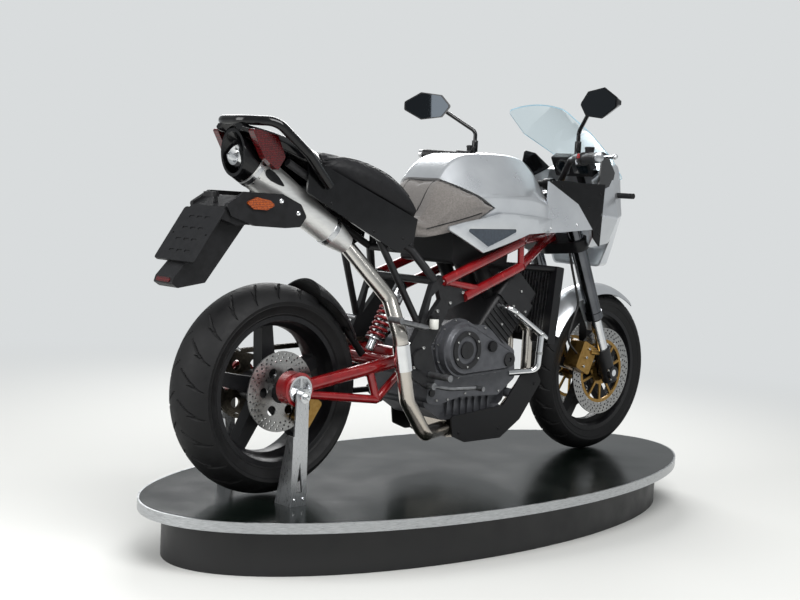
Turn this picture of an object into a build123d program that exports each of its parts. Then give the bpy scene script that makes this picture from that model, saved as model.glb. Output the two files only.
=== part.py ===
"""Half-faired road motorcycle held by its rear axle on a two-post display stand, on an oval plinth.

Millimetres. The frame has +X forward, +Y to the rider's left and +Z up, with the origin on the floor
under the middle of the plinth. Places on the machine are given from the rear axle's plumb line (x),
the centre plane (y) and the plinth's deck (z); the function at() turns them into the part's frame.
"""

import os
from math import cos, pi, radians, sin

from build123d import *

# Plinth and display stand
DECK_LENGTH = 2264.0
DECK_WIDTH = 1070.0
DECK_THICK = 30.0
RIM_WALL = 6.0
BASE_INSET = 75.0
BASE_HEIGHT = 140.0
POST_PLATE = 6.0
POST_FOOT_X = 58.0
POST_FOOT_Y = 74.0
POST_TOP_X = 44.0
POST_TOP_Y = 34.0
POST_SOLE = 8.0
POST_OUTER_Y = 182.0

# Wheels
WHEELBASE = 1505.0
REAR_TYRE_R = 315.0
REAR_TYRE_W = 180.0
FRONT_TYRE_R = 300.0
FRONT_TYRE_W = 120.0
REAR_LIFT = 6.0
FRONT_GAP = 0.3
BEAD_R = 216.0
FLANGE_R = 228.0
FLANGE_T = 6.0
REAR_BEAD_W = 132.0
FRONT_BEAD_W = 86.0
SPOKE_COUNT = 5
AXLE_R = 12.5
SHAFT_GAP = 0.1
REAR_HUB_R = 46.0
FRONT_HUB_R = 34.0
REAR_DISC_R = 120.0
FRONT_DISC_R = 160.0
DISC_T = 5.0
REAR_DISC_Y = 75.0
FRONT_DISC_Y = 72.0

# Final drive
CHAIN_PITCH = 15.875
REAR_TEETH = 40
FRONT_TEETH = 17
CHAIN_Y = 104.0
CHAIN_W = 16.0
CHAIN_HALF = 7.5

# Swinging arm
PIVOT_X = 480.0
PIVOT_Z = 405.0
ARM_Y = 138.0
ARM_TUBE_R = 20.0
TRUSS_TUBE_R = 13.0
CLAMP_R = 50.0
ADJUSTER_R = 41.0
ADJUSTER_RISE = 18.0
CLAMP_IN = 117.0
CLAMP_OUT = 165.0

# Steering
RAKE = 25.0
YOKE_OFFSET = 30.0
LEG_Y = 105.0
SLIDER_R = 21.5
OUTER_R = 28.0
LUG_TOP = 98.0
OUTER_FROM = 226.0
SLIDER_IN = 40.0
OUTER_TO = 735.0
LOWER_YOKE = 520.0
LOWER_YOKE_T = 40.0
UPPER_YOKE = 690.0
UPPER_YOKE_T = 28.0
STEM_R = 16.0
HEAD_R = 31.0
BAR_R = 11.0
GRIP_R = 16.5
BAR_END = (-506.0, 400.0, 1066.0)

# Engine
CASE_HALF = 134.0
SUMP_HALF = 108.0
CYLINDER_TILT = 40.0
COVER_DEPTH = 52.0

# Frame
TUBE_R = 16.0
BRACE_R = 11.0
PLATE_IN = 140.0
PLATE_T = 20.0

# Bodywork seams
TANK_FLOOR = 812.0

DECK_TOP = BASE_HEIGHT + DECK_THICK
REAR_X = -WHEELBASE / 2
REAR_AXLE_Z = REAR_TYRE_R + REAR_LIFT
FRONT_AXLE_Z = FRONT_TYRE_R + FRONT_GAP
RAKE_SIN = sin(radians(RAKE))
RAKE_COS = cos(radians(RAKE))


def at(x, y, z):
    """Place in the part's frame of a point given from the rear axle, the centre plane and the deck."""
    return Vector(x + REAR_X, y, z + DECK_TOP)


def front(x, y, z):
    """As at(), with x measured forward from the front axle."""
    return at(x + WHEELBASE, y, z)


def along_fork(run, y=0.0, ahead=0.0):
    """Point on the fork's slope: run up from the front axle, ahead of the legs' centre line."""
    return front(ahead * RAKE_COS - run * RAKE_SIN, y, FRONT_AXLE_Z + run * RAKE_COS + ahead * RAKE_SIN)


FORK_UP = Vector(-RAKE_SIN, 0, RAKE_COS)
FORK_AHEAD = Vector(RAKE_COS, 0, RAKE_SIN)
REAR_AXLE = at(0, 0, REAR_AXLE_Z)
FRONT_AXLE = front(0, 0, FRONT_AXLE_Z)
SIDEWAYS = Vector(0, 1, 0)


def side_plane(y, origin=None):
    """Plane seen from the right: its x is the part's x, its y is height, and it faces -Y."""
    o = origin if origin is not None else at(0, 0, 0)
    return Plane(origin=(o.X, y, o.Z), x_dir=(1, 0, 0), z_dir=(0, -1, 0))


def cross_plane(x):
    """Plane across the machine at x from the rear axle: its x is +Y and its y is height."""
    return Plane(origin=at(x, 0, 0), x_dir=(0, 1, 0), z_dir=(1, 0, 0))


def yoke_plane(run):
    """Plane square to the steering axis: its x points ahead, its y to the left."""
    return Plane(origin=along_fork(run), x_dir=FORK_AHEAD, z_dir=FORK_UP)


def strut(a, b, r):
    """Round bar between two points, added to the part being built."""
    axis = b - a
    with Locations(Plane(origin=a, z_dir=axis)):
        Cylinder(r, axis.length, align=(Align.CENTER, Align.CENTER, Align.MIN))


def pin(centre, y_from, y_to, r, mode=Mode.ADD):
    """Round bar across the machine, between two sideways places."""
    with Locations(Plane(origin=(centre.X, y_from, centre.Z), z_dir=(0, y_to - y_from, 0))):
        Cylinder(r, abs(y_to - y_from), align=(Align.CENTER, Align.CENTER, Align.MIN), mode=mode)


def bent_bar(points, bend, r):
    """Round bar along straight runs joined by arcs of one radius."""
    with BuildLine() as route:
        FilletPolyline(*points, radius=bend)
    with BuildSketch(route.line ^ 0) as end:
        Circle(r)
    sweep(end.sketch, path=route.line)


def side_panel(outline, y_from, y_to, corner=0.0, mode=Mode.ADD):
    """Flat panel between two sideways places, from its outline of (x, z) points in side view."""
    low, high = min(y_from, y_to), max(y_from, y_to)
    with BuildSketch(side_plane(high)) as panel:
        with BuildLine():
            Polyline(*outline, close=True)
        make_face()
        if corner:
            fillet(panel.vertices(), corner)
    extrude(panel.sketch, amount=high - low, mode=mode)


def body_loft(rows, ruled=False):
    """Smooth body from six-cornered sections across the machine.

    Each row: x, bottom half-width, bottom z, middle half-width, middle z, top half-width, top z, corner.
    """
    sections = []
    for x, low_w, low_z, mid_w, mid_z, top_w, top_z, corner in rows:
        with BuildSketch(cross_plane(x)) as section:
            with BuildLine():
                Polyline(
                    (-low_w, low_z), (low_w, low_z), (mid_w, mid_z), (top_w, top_z),
                    (-top_w, top_z), (-mid_w, mid_z), close=True,
                )
            make_face()
            fillet(section.vertices(), corner)
        sections.append(section.sketch)
    loft(sections, ruled=ruled)


def skin(outline, x_from, y_from, x_to, y_to, thick, corner=0.0):
    """Flat panel on the right whose inner face runs from one (x, y) to another in plan."""
    lean = Vector(x_to - x_from, y_to - y_from, 0)
    stretch = lean.length / (x_to - x_from)
    face = Plane(origin=at(x_from, y_from, 0), x_dir=lean, z_dir=(lean.Y, -lean.X, 0))
    with BuildSketch(face) as sheet:
        with BuildLine():
            Polyline(*[((x - x_from) * stretch, z) for x, z in outline], close=True)
        make_face()
        if corner:
            fillet(sheet.vertices(), corner)
    extrude(sheet.sketch, amount=thick)


def sprocket_radius(teeth):
    return CHAIN_PITCH / (2 * sin(pi / teeth))


# Plinth: a dark deck in a metal edge band, on a drum set back under it
with BuildPart() as plinth_base:
    with BuildSketch():
        Ellipse(DECK_LENGTH / 2 - BASE_INSET, DECK_WIDTH / 2 - BASE_INSET)
    extrude(amount=BASE_HEIGHT)

with BuildPart() as plinth_deck:
    with BuildSketch(Plane.XY.offset(BASE_HEIGHT)):
        Ellipse(DECK_LENGTH / 2 - RIM_WALL, DECK_WIDTH / 2 - RIM_WALL)
    extrude(amount=DECK_THICK)

with BuildPart() as plinth_rim:
    with BuildSketch(Plane.XY.offset(BASE_HEIGHT)):
        Ellipse(DECK_LENGTH / 2, DECK_WIDTH / 2)
        Ellipse(DECK_LENGTH / 2 - RIM_WALL, DECK_WIDTH / 2 - RIM_WALL, mode=Mode.SUBTRACT)
    extrude(amount=DECK_THICK)

# Display stand: two tapered angle posts that take the ends of the rear axle
POST_HEIGHT = REAR_AXLE_Z + POST_TOP_X / 2
SLOT_LOW = 40.0
SLOT_HIGH = 130.0

with BuildPart() as stand_posts:
    # outer plate, seen from the side
    side_panel(
        [(-POST_FOOT_X / 2, 0), (POST_FOOT_X / 2, 0), (POST_TOP_X / 2, POST_HEIGHT),
         (-POST_TOP_X / 2, POST_HEIGHT)],
        -POST_OUTER_Y, -POST_OUTER_Y + POST_PLATE,
    )
    # rear plate, seen from behind, standing on the outer plate's edge
    with BuildSketch(cross_plane(-POST_FOOT_X / 2)):
        with BuildLine():
            Polyline(
                (-POST_OUTER_Y, 0), (-POST_OUTER_Y + POST_FOOT_Y, 0),
                (-POST_OUTER_Y + POST_TOP_Y - POST_PLATE, POST_HEIGHT * 0.6),
                (-POST_OUTER_Y, POST_HEIGHT * 0.6), close=True,
            )
        make_face()
    extrude(amount=POST_PLATE)
    # sole on the deck
    with Locations(at(-POST_FOOT_X / 2, -POST_OUTER_Y, 0)):
        Box(POST_FOOT_X, POST_FOOT_Y, POST_SOLE, align=Align.MIN)
    # pointed slot through the outer plate
    side_panel(
        [(-POST_FOOT_X / 5, SLOT_LOW), (POST_FOOT_X / 5, SLOT_LOW), (0, SLOT_HIGH)],
        -POST_OUTER_Y, -POST_OUTER_Y + POST_PLATE, mode=Mode.SUBTRACT,
    )
    pin(REAR_AXLE, -POST_OUTER_Y - 1, -CLAMP_OUT + 1, AXLE_R + SHAFT_GAP, mode=Mode.SUBTRACT)
    mirror(about=Plane.XZ)

# Wheels
def turned(point, angle):
    """Flat point turned about the origin."""
    c, s = cos(radians(angle)), sin(radians(angle))
    return (point[0] * c - point[1] * s, point[0] * s + point[1] * c)


def tyre(axle, r, w, bead_w):
    """Road tyre on a rim: round crown, full shoulders and beads against the flanges."""
    half, bead = w / 2, bead_w / 2
    shoulder = r - (r - FLANGE_R) * 0.55
    with BuildSketch(Plane(origin=axle, x_dir=(0, 1, 0), z_dir=(1, 0, 0))) as profile:
        with BuildLine():
            Line((-bead, BEAD_R), (bead, BEAD_R))
            Line((bead, BEAD_R), (bead, FLANGE_R + 1))
            Line((bead, FLANGE_R + 1), (half, shoulder))
            ThreePointArc((half, shoulder), (0, r), (-half, shoulder))
            Line((-half, shoulder), (-bead, FLANGE_R + 1))
            Line((-bead, FLANGE_R + 1), (-bead, BEAD_R))
        make_face()
    revolve(profile.sketch, axis=Axis(axle, SIDEWAYS))


def rim(axle, bead_w, hub_r, hub_w, spoke_root, spoke_tip, spoke_depth):
    """Cast wheel: barrel with flanges and a dropped well, tapered spokes and a bored hub."""
    bead = bead_w / 2
    edge = bead + FLANGE_T
    barrel = BEAD_R - 13
    with BuildSketch(Plane(origin=axle, x_dir=(0, 1, 0), z_dir=(1, 0, 0))) as profile:
        with BuildLine():
            Polyline(
                (-bead, BEAD_R), (-bead, FLANGE_R), (-edge, FLANGE_R), (-edge, BEAD_R - 6),
                (-bead * 0.55, barrel), (-bead * 0.3, barrel - 14), (bead * 0.3, barrel - 14),
                (bead * 0.55, barrel), (edge, BEAD_R - 6), (edge, FLANGE_R), (bead, FLANGE_R),
                (bead, BEAD_R), close=True,
            )
        make_face()
    revolve(profile.sketch, axis=Axis(axle, SIDEWAYS))
    pin(axle, -hub_w / 2, hub_w / 2, hub_r)
    with BuildSketch(side_plane(spoke_depth / 2, axle)) as spokes:
        for k in range(SPOKE_COUNT):
            corners = (
                (hub_r * 0.5, -spoke_root / 2), (barrel - 8, -spoke_tip / 2),
                (barrel - 8, spoke_tip / 2), (hub_r * 0.5, spoke_root / 2),
            )
            with BuildLine():
                Polyline(*[turned(c, 95 + k * 360 / SPOKE_COUNT) for c in corners], close=True)
            make_face()
    extrude(spokes.sketch, amount=spoke_depth)
    pin(axle, -hub_w, hub_w, AXLE_R + SHAFT_GAP, mode=Mode.SUBTRACT)


def brake_disc(axle, y, outer, inner, lobes):
    """Flat brake rotor whose inner edge has round bays."""
    with BuildSketch(side_plane(y + DISC_T / 2, axle)) as rotor:
        Circle(outer)
        Circle(inner, mode=Mode.SUBTRACT)
        with PolarLocations(inner, lobes):
            Circle(inner * 0.13, mode=Mode.SUBTRACT)
    extrude(rotor.sketch, amount=DISC_T)


REAR_HUB_W = 2 * (REAR_DISC_Y - DISC_T / 2)
FRONT_HUB_W = 104.0

with BuildPart() as rear_tyre:
    tyre(REAR_AXLE, REAR_TYRE_R, REAR_TYRE_W, REAR_BEAD_W)

with BuildPart() as rear_rim:
    rim(REAR_AXLE, REAR_BEAD_W, REAR_HUB_R, REAR_HUB_W, 54, 38, 44)

with BuildPart() as rear_disc:
    with BuildSketch(side_plane(-REAR_DISC_Y + DISC_T / 2, REAR_AXLE)):
        Circle(REAR_DISC_R)
        Circle(AXLE_R + 10, mode=Mode.SUBTRACT)
        with PolarLocations(63, 6):
            Circle(15, mode=Mode.SUBTRACT)
    extrude(amount=DISC_T)

with BuildPart() as rear_sprocket:
    with BuildSketch(side_plane(CHAIN_Y + 4, REAR_AXLE)):
        Circle(sprocket_radius(REAR_TEETH) - CHAIN_HALF - 1)
        Circle(AXLE_R + 10, mode=Mode.SUBTRACT)
        with PolarLocations(66, 6):
            Circle(16, mode=Mode.SUBTRACT)
    extrude(amount=8)
    # carrier between hub and sprocket
    with BuildSketch(side_plane(CHAIN_Y - 4, REAR_AXLE)):
        Circle(40)
        Circle(AXLE_R + 10, mode=Mode.SUBTRACT)
    extrude(amount=CHAIN_Y - 4 - REAR_HUB_W / 2)

with BuildPart() as front_tyre:
    tyre(FRONT_AXLE, FRONT_TYRE_R, FRONT_TYRE_W, FRONT_BEAD_W)

with BuildPart() as front_rim:
    rim(FRONT_AXLE, FRONT_BEAD_W, FRONT_HUB_R, FRONT_HUB_W, 44, 32, 34)

FRONT_DISC_IN = 118.0
CARRIER_T = 6.0
CARRIER_SPOKES = 10

with BuildPart() as front_discs:
    brake_disc(FRONT_AXLE, -FRONT_DISC_Y, FRONT_DISC_R, FRONT_DISC_IN, CARRIER_SPOKES)
    brake_disc(FRONT_AXLE, FRONT_DISC_Y, FRONT_DISC_R, FRONT_DISC_IN, CARRIER_SPOKES)

with BuildPart() as disc_carriers:
    carrier_out = -FRONT_DISC_Y + CARRIER_T / 2
    with BuildSketch(side_plane(carrier_out, FRONT_AXLE)):
        Circle(FRONT_DISC_IN - 0.3)
        Circle(FRONT_DISC_IN - 12, mode=Mode.SUBTRACT)
        Circle(50)
        with PolarLocations(78, CARRIER_SPOKES, start_angle=18):
            Rectangle(64, 9)
        Circle(AXLE_R + 10, mode=Mode.SUBTRACT)
    extrude(amount=CARRIER_T)
    # spigot onto the hub
    with BuildSketch(side_plane(-FRONT_HUB_W / 2, FRONT_AXLE)):
        Circle(FRONT_HUB_R)
        Circle(AXLE_R + 10, mode=Mode.SUBTRACT)
    extrude(amount=-carrier_out - FRONT_HUB_W / 2)
    mirror(about=Plane.XZ)

# Axles
with BuildPart() as rear_axle:
    pin(REAR_AXLE, -POST_OUTER_Y - 4, POST_OUTER_Y + 4, AXLE_R)
    for side in (-1, 1):
        pin(REAR_AXLE, side * (POST_OUTER_Y + 0.2), side * (POST_OUTER_Y + 12), AXLE_R + 5)

with BuildPart() as front_axle:
    pin(FRONT_AXLE, -LEG_Y - 30, LEG_Y + 30, AXLE_R)

# Swinging arm: tube trusses with round clamps that hold the eccentric adjusters
ADJUSTER = at(0, 0, REAR_AXLE_Z + ADJUSTER_RISE)
PIVOT = at(PIVOT_X, 0, PIVOT_Z)
PIVOT_TUBE_R = 25.0
TRUSS_LOW = (330.0, 283.0)
BRACE_X = 392.0

with BuildPart() as swingarm:
    arm_y = -ARM_Y
    pin(ADJUSTER, -CLAMP_OUT, -CLAMP_IN, CLAMP_R)
    strut(at(40, arm_y, REAR_AXLE_Z + 22), at(PIVOT_X, arm_y + 24, PIVOT_Z), ARM_TUBE_R)
    strut(at(40, arm_y, REAR_AXLE_Z - 2), at(TRUSS_LOW[0], arm_y + 6, TRUSS_LOW[1]), TRUSS_TUBE_R)
    strut(at(TRUSS_LOW[0], arm_y + 6, TRUSS_LOW[1]), at(PIVOT_X, arm_y + 24, PIVOT_Z - 10), TRUSS_TUBE_R)
    strut(at(TRUSS_LOW[0], arm_y + 6, TRUSS_LOW[1]), at(300, arm_y + 12, PIVOT_Z - 25), TRUSS_TUBE_R)
    mirror(about=Plane.XZ)
    pin(at(BRACE_X, 0, PIVOT_Z - 12), -ARM_Y + 16, ARM_Y - 16, ARM_TUBE_R)
    pin(PIVOT, -PLATE_IN + SHAFT_GAP, PLATE_IN - SHAFT_GAP, PIVOT_TUBE_R)
    pin(ADJUSTER, -CLAMP_OUT - 1, -CLAMP_IN + 1, ADJUSTER_R + SHAFT_GAP, mode=Mode.SUBTRACT)
    pin(ADJUSTER, CLAMP_IN - 1, CLAMP_OUT + 1, ADJUSTER_R + SHAFT_GAP, mode=Mode.SUBTRACT)

with BuildPart() as chain_adjusters:
    pin(ADJUSTER, -CLAMP_OUT - 6, -CLAMP_IN + 2, ADJUSTER_R)
    # hollow face with three ribs
    with BuildSketch(side_plane(-CLAMP_OUT + 12, ADJUSTER)):
        Circle(ADJUSTER_R - 6)
        with PolarLocations(ADJUSTER_R / 2, 3, start_angle=90):
            Rectangle(ADJUSTER_R, 7, mode=Mode.SUBTRACT)
        with Locations((0, -ADJUSTER_RISE)):
            Circle(AXLE_R + 6, mode=Mode.SUBTRACT)
    extrude(amount=30, mode=Mode.SUBTRACT)
    pin(REAR_AXLE, -CLAMP_OUT - 8, -CLAMP_IN + 4, AXLE_R + SHAFT_GAP, mode=Mode.SUBTRACT)
    mirror(about=Plane.XZ)

# Chain: one closed band round both sprockets, its outline the links' outer edges
DRIVE = (585.0, 400.0)

with BuildPart() as drive_chain:
    for grow, mode in ((CHAIN_HALF, Mode.ADD), (-CHAIN_HALF, Mode.SUBTRACT)):
        with BuildSketch(side_plane(CHAIN_Y + CHAIN_W / 2)):
            with BuildLine() as loop:
                CenterArc((0, REAR_AXLE_Z), sprocket_radius(REAR_TEETH) + grow, 0, 360)
                CenterArc(DRIVE, sprocket_radius(FRONT_TEETH) + grow, 0, 360)
            make_hull(loop.edges())
        extrude(amount=CHAIN_W, mode=mode)

# Steering head, fork, yokes and bars
HEAD_LOW = LOWER_YOKE + LOWER_YOKE_T / 2 + 1
HEAD_TOP = UPPER_YOKE - UPPER_YOKE_T / 2 - 1

with BuildPart() as fork_sliders:
    strut(along_fork(LUG_TOP, -LEG_Y), along_fork(OUTER_FROM + SLIDER_IN, -LEG_Y), SLIDER_R)
    strut(along_fork(-34, -LEG_Y), along_fork(LUG_TOP, -LEG_Y), SLIDER_R + 6)
    pin(FRONT_AXLE, -LEG_Y - 31, -LEG_Y + 24, AXLE_R + 11)
    pin(FRONT_AXLE, -LEG_Y - 32, -LEG_Y + 32, AXLE_R + SHAFT_GAP, mode=Mode.SUBTRACT)
    mirror(about=Plane.XZ)

with BuildPart() as fork_outers:
    strut(along_fork(OUTER_FROM, -LEG_Y), along_fork(OUTER_TO, -LEG_Y), OUTER_R)
    strut(along_fork(OUTER_FROM, -LEG_Y), along_fork(OUTER_FROM + 24, -LEG_Y), OUTER_R + 3)
    with Locations(Plane(origin=along_fork(OUTER_FROM, -LEG_Y), z_dir=FORK_UP)):
        Cylinder(
            SLIDER_R + SHAFT_GAP, SLIDER_IN,
            align=(Align.CENTER, Align.CENTER, Align.MIN), mode=Mode.SUBTRACT,
        )
    mirror(about=Plane.XZ)


def yoke(run, thick):
    """Clamp plate for both legs round the stem, thinner between them."""
    with BuildSketch(yoke_plane(run - thick / 2)) as plate:
        with BuildLine() as outline:
            CenterArc((0, -LEG_Y), OUTER_R + 9, 0, 360)
            CenterArc((0, LEG_Y), OUTER_R + 9, 0, 360)
            CenterArc((-YOKE_OFFSET, 0), 30, 0, 360)
        make_hull(outline.edges())
        with Locations((0, -LEG_Y), (0, LEG_Y)):
            Circle(OUTER_R + SHAFT_GAP, mode=Mode.SUBTRACT)
    extrude(plate.sketch, amount=thick)


RISER = 46.0
BAR_Y = 46.0
BAR_MID = along_fork(UPPER_YOKE + UPPER_YOKE_T / 2 + RISER, 0, -6)

with BuildPart() as yokes:
    yoke(LOWER_YOKE, LOWER_YOKE_T)
    yoke(UPPER_YOKE, UPPER_YOKE_T)
    strut(along_fork(LOWER_YOKE, 0, -YOKE_OFFSET), along_fork(UPPER_YOKE, 0, -YOKE_OFFSET), STEM_R)
    for side in (-1, 1):
        foot = along_fork(UPPER_YOKE + UPPER_YOKE_T / 2 - 2, side * BAR_Y, -6)
        strut(foot, foot + FORK_UP * (RISER + 2), 15)
        pin(BAR_MID, side * (BAR_Y - 17), side * (BAR_Y + 17), BAR_R + 9)
    pin(BAR_MID, -90, 90, BAR_R + SHAFT_GAP, mode=Mode.SUBTRACT)

GRIP_END = front(*BAR_END)
BAR_RISE = front(-382, 186, BAR_END[2] - 6)
BAR_POINTS = [
    Vector(GRIP_END.X, -GRIP_END.Y, GRIP_END.Z), Vector(BAR_RISE.X, -BAR_RISE.Y, BAR_RISE.Z),
    Vector(BAR_MID.X, -90, BAR_MID.Z), Vector(BAR_MID.X, 90, BAR_MID.Z), BAR_RISE, GRIP_END,
]

with BuildPart() as handlebar:
    bent_bar(BAR_POINTS, 40, BAR_R)

GRIP_DIR = (GRIP_END - BAR_RISE).normalized()
GRIP_LENGTH = 125.0
SWITCH_LENGTH = 46.0
SWITCH_END = GRIP_LENGTH + SWITCH_LENGTH


def on_left_bar(run):
    """Point on the left bar's straight end, run back from its tip."""
    return GRIP_END - GRIP_DIR * run


with BuildPart() as grips:
    strut(on_left_bar(-8), on_left_bar(GRIP_LENGTH), GRIP_R)
    strut(on_left_bar(GRIP_LENGTH), on_left_bar(GRIP_LENGTH - 6), GRIP_R + 6)
    strut(on_left_bar(GRIP_LENGTH), on_left_bar(0), BAR_R + SHAFT_GAP)
    with Locations(Plane(origin=on_left_bar(GRIP_LENGTH + 1), z_dir=GRIP_DIR)):
        Cylinder(
            BAR_R + SHAFT_GAP, GRIP_LENGTH + 1.5,
            align=(Align.CENTER, Align.CENTER, Align.MIN), mode=Mode.SUBTRACT,
        )
    mirror(about=Plane.XZ)

CONTROL_AHEAD = Vector(0.88, 0.46, 0.1).normalized()

with BuildPart() as bar_controls:
    # switch housing, then the lever's perch with its fluid reservoir
    strut(on_left_bar(GRIP_LENGTH + 0.5), on_left_bar(SWITCH_END), BAR_R + 11)
    perch = on_left_bar(SWITCH_END - 10)
    strut(on_left_bar(SWITCH_END - 4), on_left_bar(SWITCH_END + 22), BAR_R + 7)
    strut(perch, perch + CONTROL_AHEAD * 52, 11)
    strut(perch + CONTROL_AHEAD * 34, perch + CONTROL_AHEAD * 34 + Vector(0, 0, 34), 15)
    with Locations(Plane(origin=on_left_bar(GRIP_LENGTH), z_dir=-GRIP_DIR)):
        Cylinder(
            BAR_R + SHAFT_GAP, SWITCH_LENGTH + 60,
            align=(Align.CENTER, Align.CENTER, Align.MIN), mode=Mode.SUBTRACT,
        )
    mirror(about=Plane.XZ)

LEVER_ROOT = perch + CONTROL_AHEAD * 52.4
LEVER_TIP = on_left_bar(8) + CONTROL_AHEAD * 66

with BuildPart() as levers:
    strut(LEVER_ROOT, LEVER_ROOT + CONTROL_AHEAD * 14, 10)
    strut(LEVER_ROOT + CONTROL_AHEAD * 8, LEVER_TIP, 6)
    with Locations(LEVER_TIP):
        Sphere(8.5)
    mirror(about=Plane.XZ)

# Mirrors on cranked stems, clamped beside the perch
MIRROR_MID = front(-512, 395, 1240)
MIRROR_TOE = 15.0
STEM_FOOT = on_left_bar(SWITCH_END + 14) + Vector(0, 0, BAR_R + 7.3)
STEM_KNEE = STEM_FOOT + Vector(0, 0, 74)
MIRROR_HALF_W = 100.0
MIRROR_HALF_H = 50.0
MIRROR_DEPTH = 26.0
MIRROR_PLANE = Plane(
    origin=MIRROR_MID,
    x_dir=(-sin(radians(MIRROR_TOE)), cos(radians(MIRROR_TOE)), 0),
    z_dir=(cos(radians(MIRROR_TOE)), sin(radians(MIRROR_TOE)), 0),
)
MIRROR_OUTLINE = [
    (MIRROR_HALF_W, 15), (MIRROR_HALF_W * 0.3, MIRROR_HALF_H),
    (-MIRROR_HALF_W * 0.6, MIRROR_HALF_H * 0.8), (-MIRROR_HALF_W, 0),
    (-MIRROR_HALF_W * 0.65, -MIRROR_HALF_H * 0.8), (MIRROR_HALF_W * 0.25, -MIRROR_HALF_H),
    (MIRROR_HALF_W, -15),
]
STEM_END = MIRROR_PLANE.from_local_coords((-MIRROR_HALF_W * 0.45, -4, MIRROR_DEPTH * 0.45))

with BuildPart() as mirrors:
    with BuildSketch(MIRROR_PLANE) as face:
        with BuildLine():
            Polyline(*MIRROR_OUTLINE, close=True)
        make_face()
        fillet(face.vertices(), 9)
    extrude(amount=MIRROR_DEPTH, taper=28)
    bent_bar([STEM_FOOT, STEM_KNEE, STEM_END], 26, 7)
    strut(STEM_FOOT, STEM_FOOT + Vector(0, 0, 42), 11)
    mirror(about=Plane.XZ)

with BuildPart() as mirror_glass:
    with BuildSketch(MIRROR_PLANE) as pane:
        with BuildLine():
            Polyline(*[(x * 0.92, z * 0.92) for x, z in MIRROR_OUTLINE], close=True)
        make_face()
        fillet(pane.vertices(), 8)
    extrude(amount=-1.5)
    mirror(about=Plane.XZ)

# Front mudguard: a crowned blade over the tyre with stays down the fork legs
GUARD_R = FRONT_TYRE_R + 20
GUARD_T = 4.0
GUARD_HALF = 70.0


def guard_blade(axle, r, half, drop, thick, start, end):
    """Crowned blade round a wheel between two angles, measured from straight ahead towards straight up."""
    across = Plane(
        origin=axle, x_dir=(0, 1, 0), z_dir=(-sin(radians(start)), 0, cos(radians(start)))
    )
    with BuildSketch(across) as profile:
        with BuildLine():
            ThreePointArc((-half, -(r - drop)), (0, -r), (half, -(r - drop)))
            Line((half, -(r - drop)), (half + thick, -(r - drop)))
            ThreePointArc((half + thick, -(r - drop)), (0, -r - thick), (-half - thick, -(r - drop)))
            Line((-half - thick, -(r - drop)), (-half, -(r - drop)))
        make_face()
    revolve(profile.sketch, axis=Axis(axle, (0, -1, 0)), revolution_arc=end - start)


def fork_outline(points):
    """Side-view points given as (run up the fork, ahead of its centre line)."""
    places = [along_fork(run, 0, ahead) for run, ahead in points]
    return [(q.X - REAR_X, q.Z - DECK_TOP) for q in places]


with BuildPart() as front_mudguard:
    guard_blade(FRONT_AXLE, GUARD_R, GUARD_HALF, 34, GUARD_T, 56, 152)
    # stays from the blade's edges to pads on the sliders
    for side in (-1, 1):
        stay_out = side * (GUARD_HALF + 3.6)
        side_panel(
            fork_outline([(180, -17), (300, -30), (300, 30), (180, 17)]), side * GUARD_HALF, stay_out,
        )
        side_panel(
            fork_outline([(180, -17), (214, -17), (214, 17), (180, 17)]), stay_out, side * (LEG_Y - 14),
        )
    add(fork_sliders.part, mode=Mode.SUBTRACT)

# Front brake calipers, radially mounted behind the legs
def caliper(axle, y, outward, disc_r, length, arm):
    """Two-sided caliper astride a rotor; outward is its direction from the axle in side view."""
    away = Vector(outward[0], 0, outward[1]).normalized()
    seat = Plane(origin=Vector(axle.X, y, axle.Z), x_dir=away, z_dir=(0, 1, 0))
    reach = disc_r + 17
    with BuildSketch(seat.offset(-30)) as block:
        with Locations(((disc_r * 0.6 + reach) / 2, 0)):
            RectangleRounded(reach - disc_r * 0.6, length, 10)
    extrude(block.sketch, amount=60)
    with BuildSketch(seat.offset(-DISC_T / 2 - 5)) as slot:
        with Locations(((disc_r + 6) / 2, 0)):
            Rectangle(disc_r + 6, length + 10)
    extrude(slot.sketch, amount=DISC_T + 10, mode=Mode.SUBTRACT)
    strut(arm[0], arm[1], 10)


CALIPER_BACK = 40.0
CALIPER_AWAY = (
    -cos(radians(RAKE)) * sin(radians(CALIPER_BACK)) - RAKE_SIN * cos(radians(CALIPER_BACK)),
    -RAKE_SIN * sin(radians(CALIPER_BACK)) + RAKE_COS * cos(radians(CALIPER_BACK)),
)

with BuildPart() as front_calipers:
    caliper(
        FRONT_AXLE, -FRONT_DISC_Y, CALIPER_AWAY, FRONT_DISC_R, 104,
        (along_fork(112, -LEG_Y + 8, -58), along_fork(86, -LEG_Y, -12)),
    )
    add(fork_sliders.part, mode=Mode.SUBTRACT)
    mirror(about=Plane.XZ)

# Brake hoses from the lower yoke, down behind the legs and round into the backs of the calipers
HOSE_R = 4.5
HOSE_BEND = 45.0
HOSE_Y = 85.0
CALIPER_REACH = FRONT_DISC_R + 17
HOSE_RUNS = [(LOWER_YOKE - LOWER_YOKE_T / 2 - SHAFT_GAP, -27), (440, -34), (300, -44), (205, -150)]

with BuildPart() as brake_hoses:
    union = Vector(CALIPER_AWAY[0], 0, CALIPER_AWAY[1]) * (CALIPER_REACH + SHAFT_GAP)
    bent_bar(
        [along_fork(run, -HOSE_Y, ahead) for run, ahead in HOSE_RUNS]
        + [FRONT_AXLE + union - SIDEWAYS * HOSE_Y],
        HOSE_BEND, HOSE_R,
    )
    mirror(about=Plane.XZ)
    add(yokes.part, mode=Mode.SUBTRACT)
    add(front_calipers.part, mode=Mode.SUBTRACT)

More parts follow.
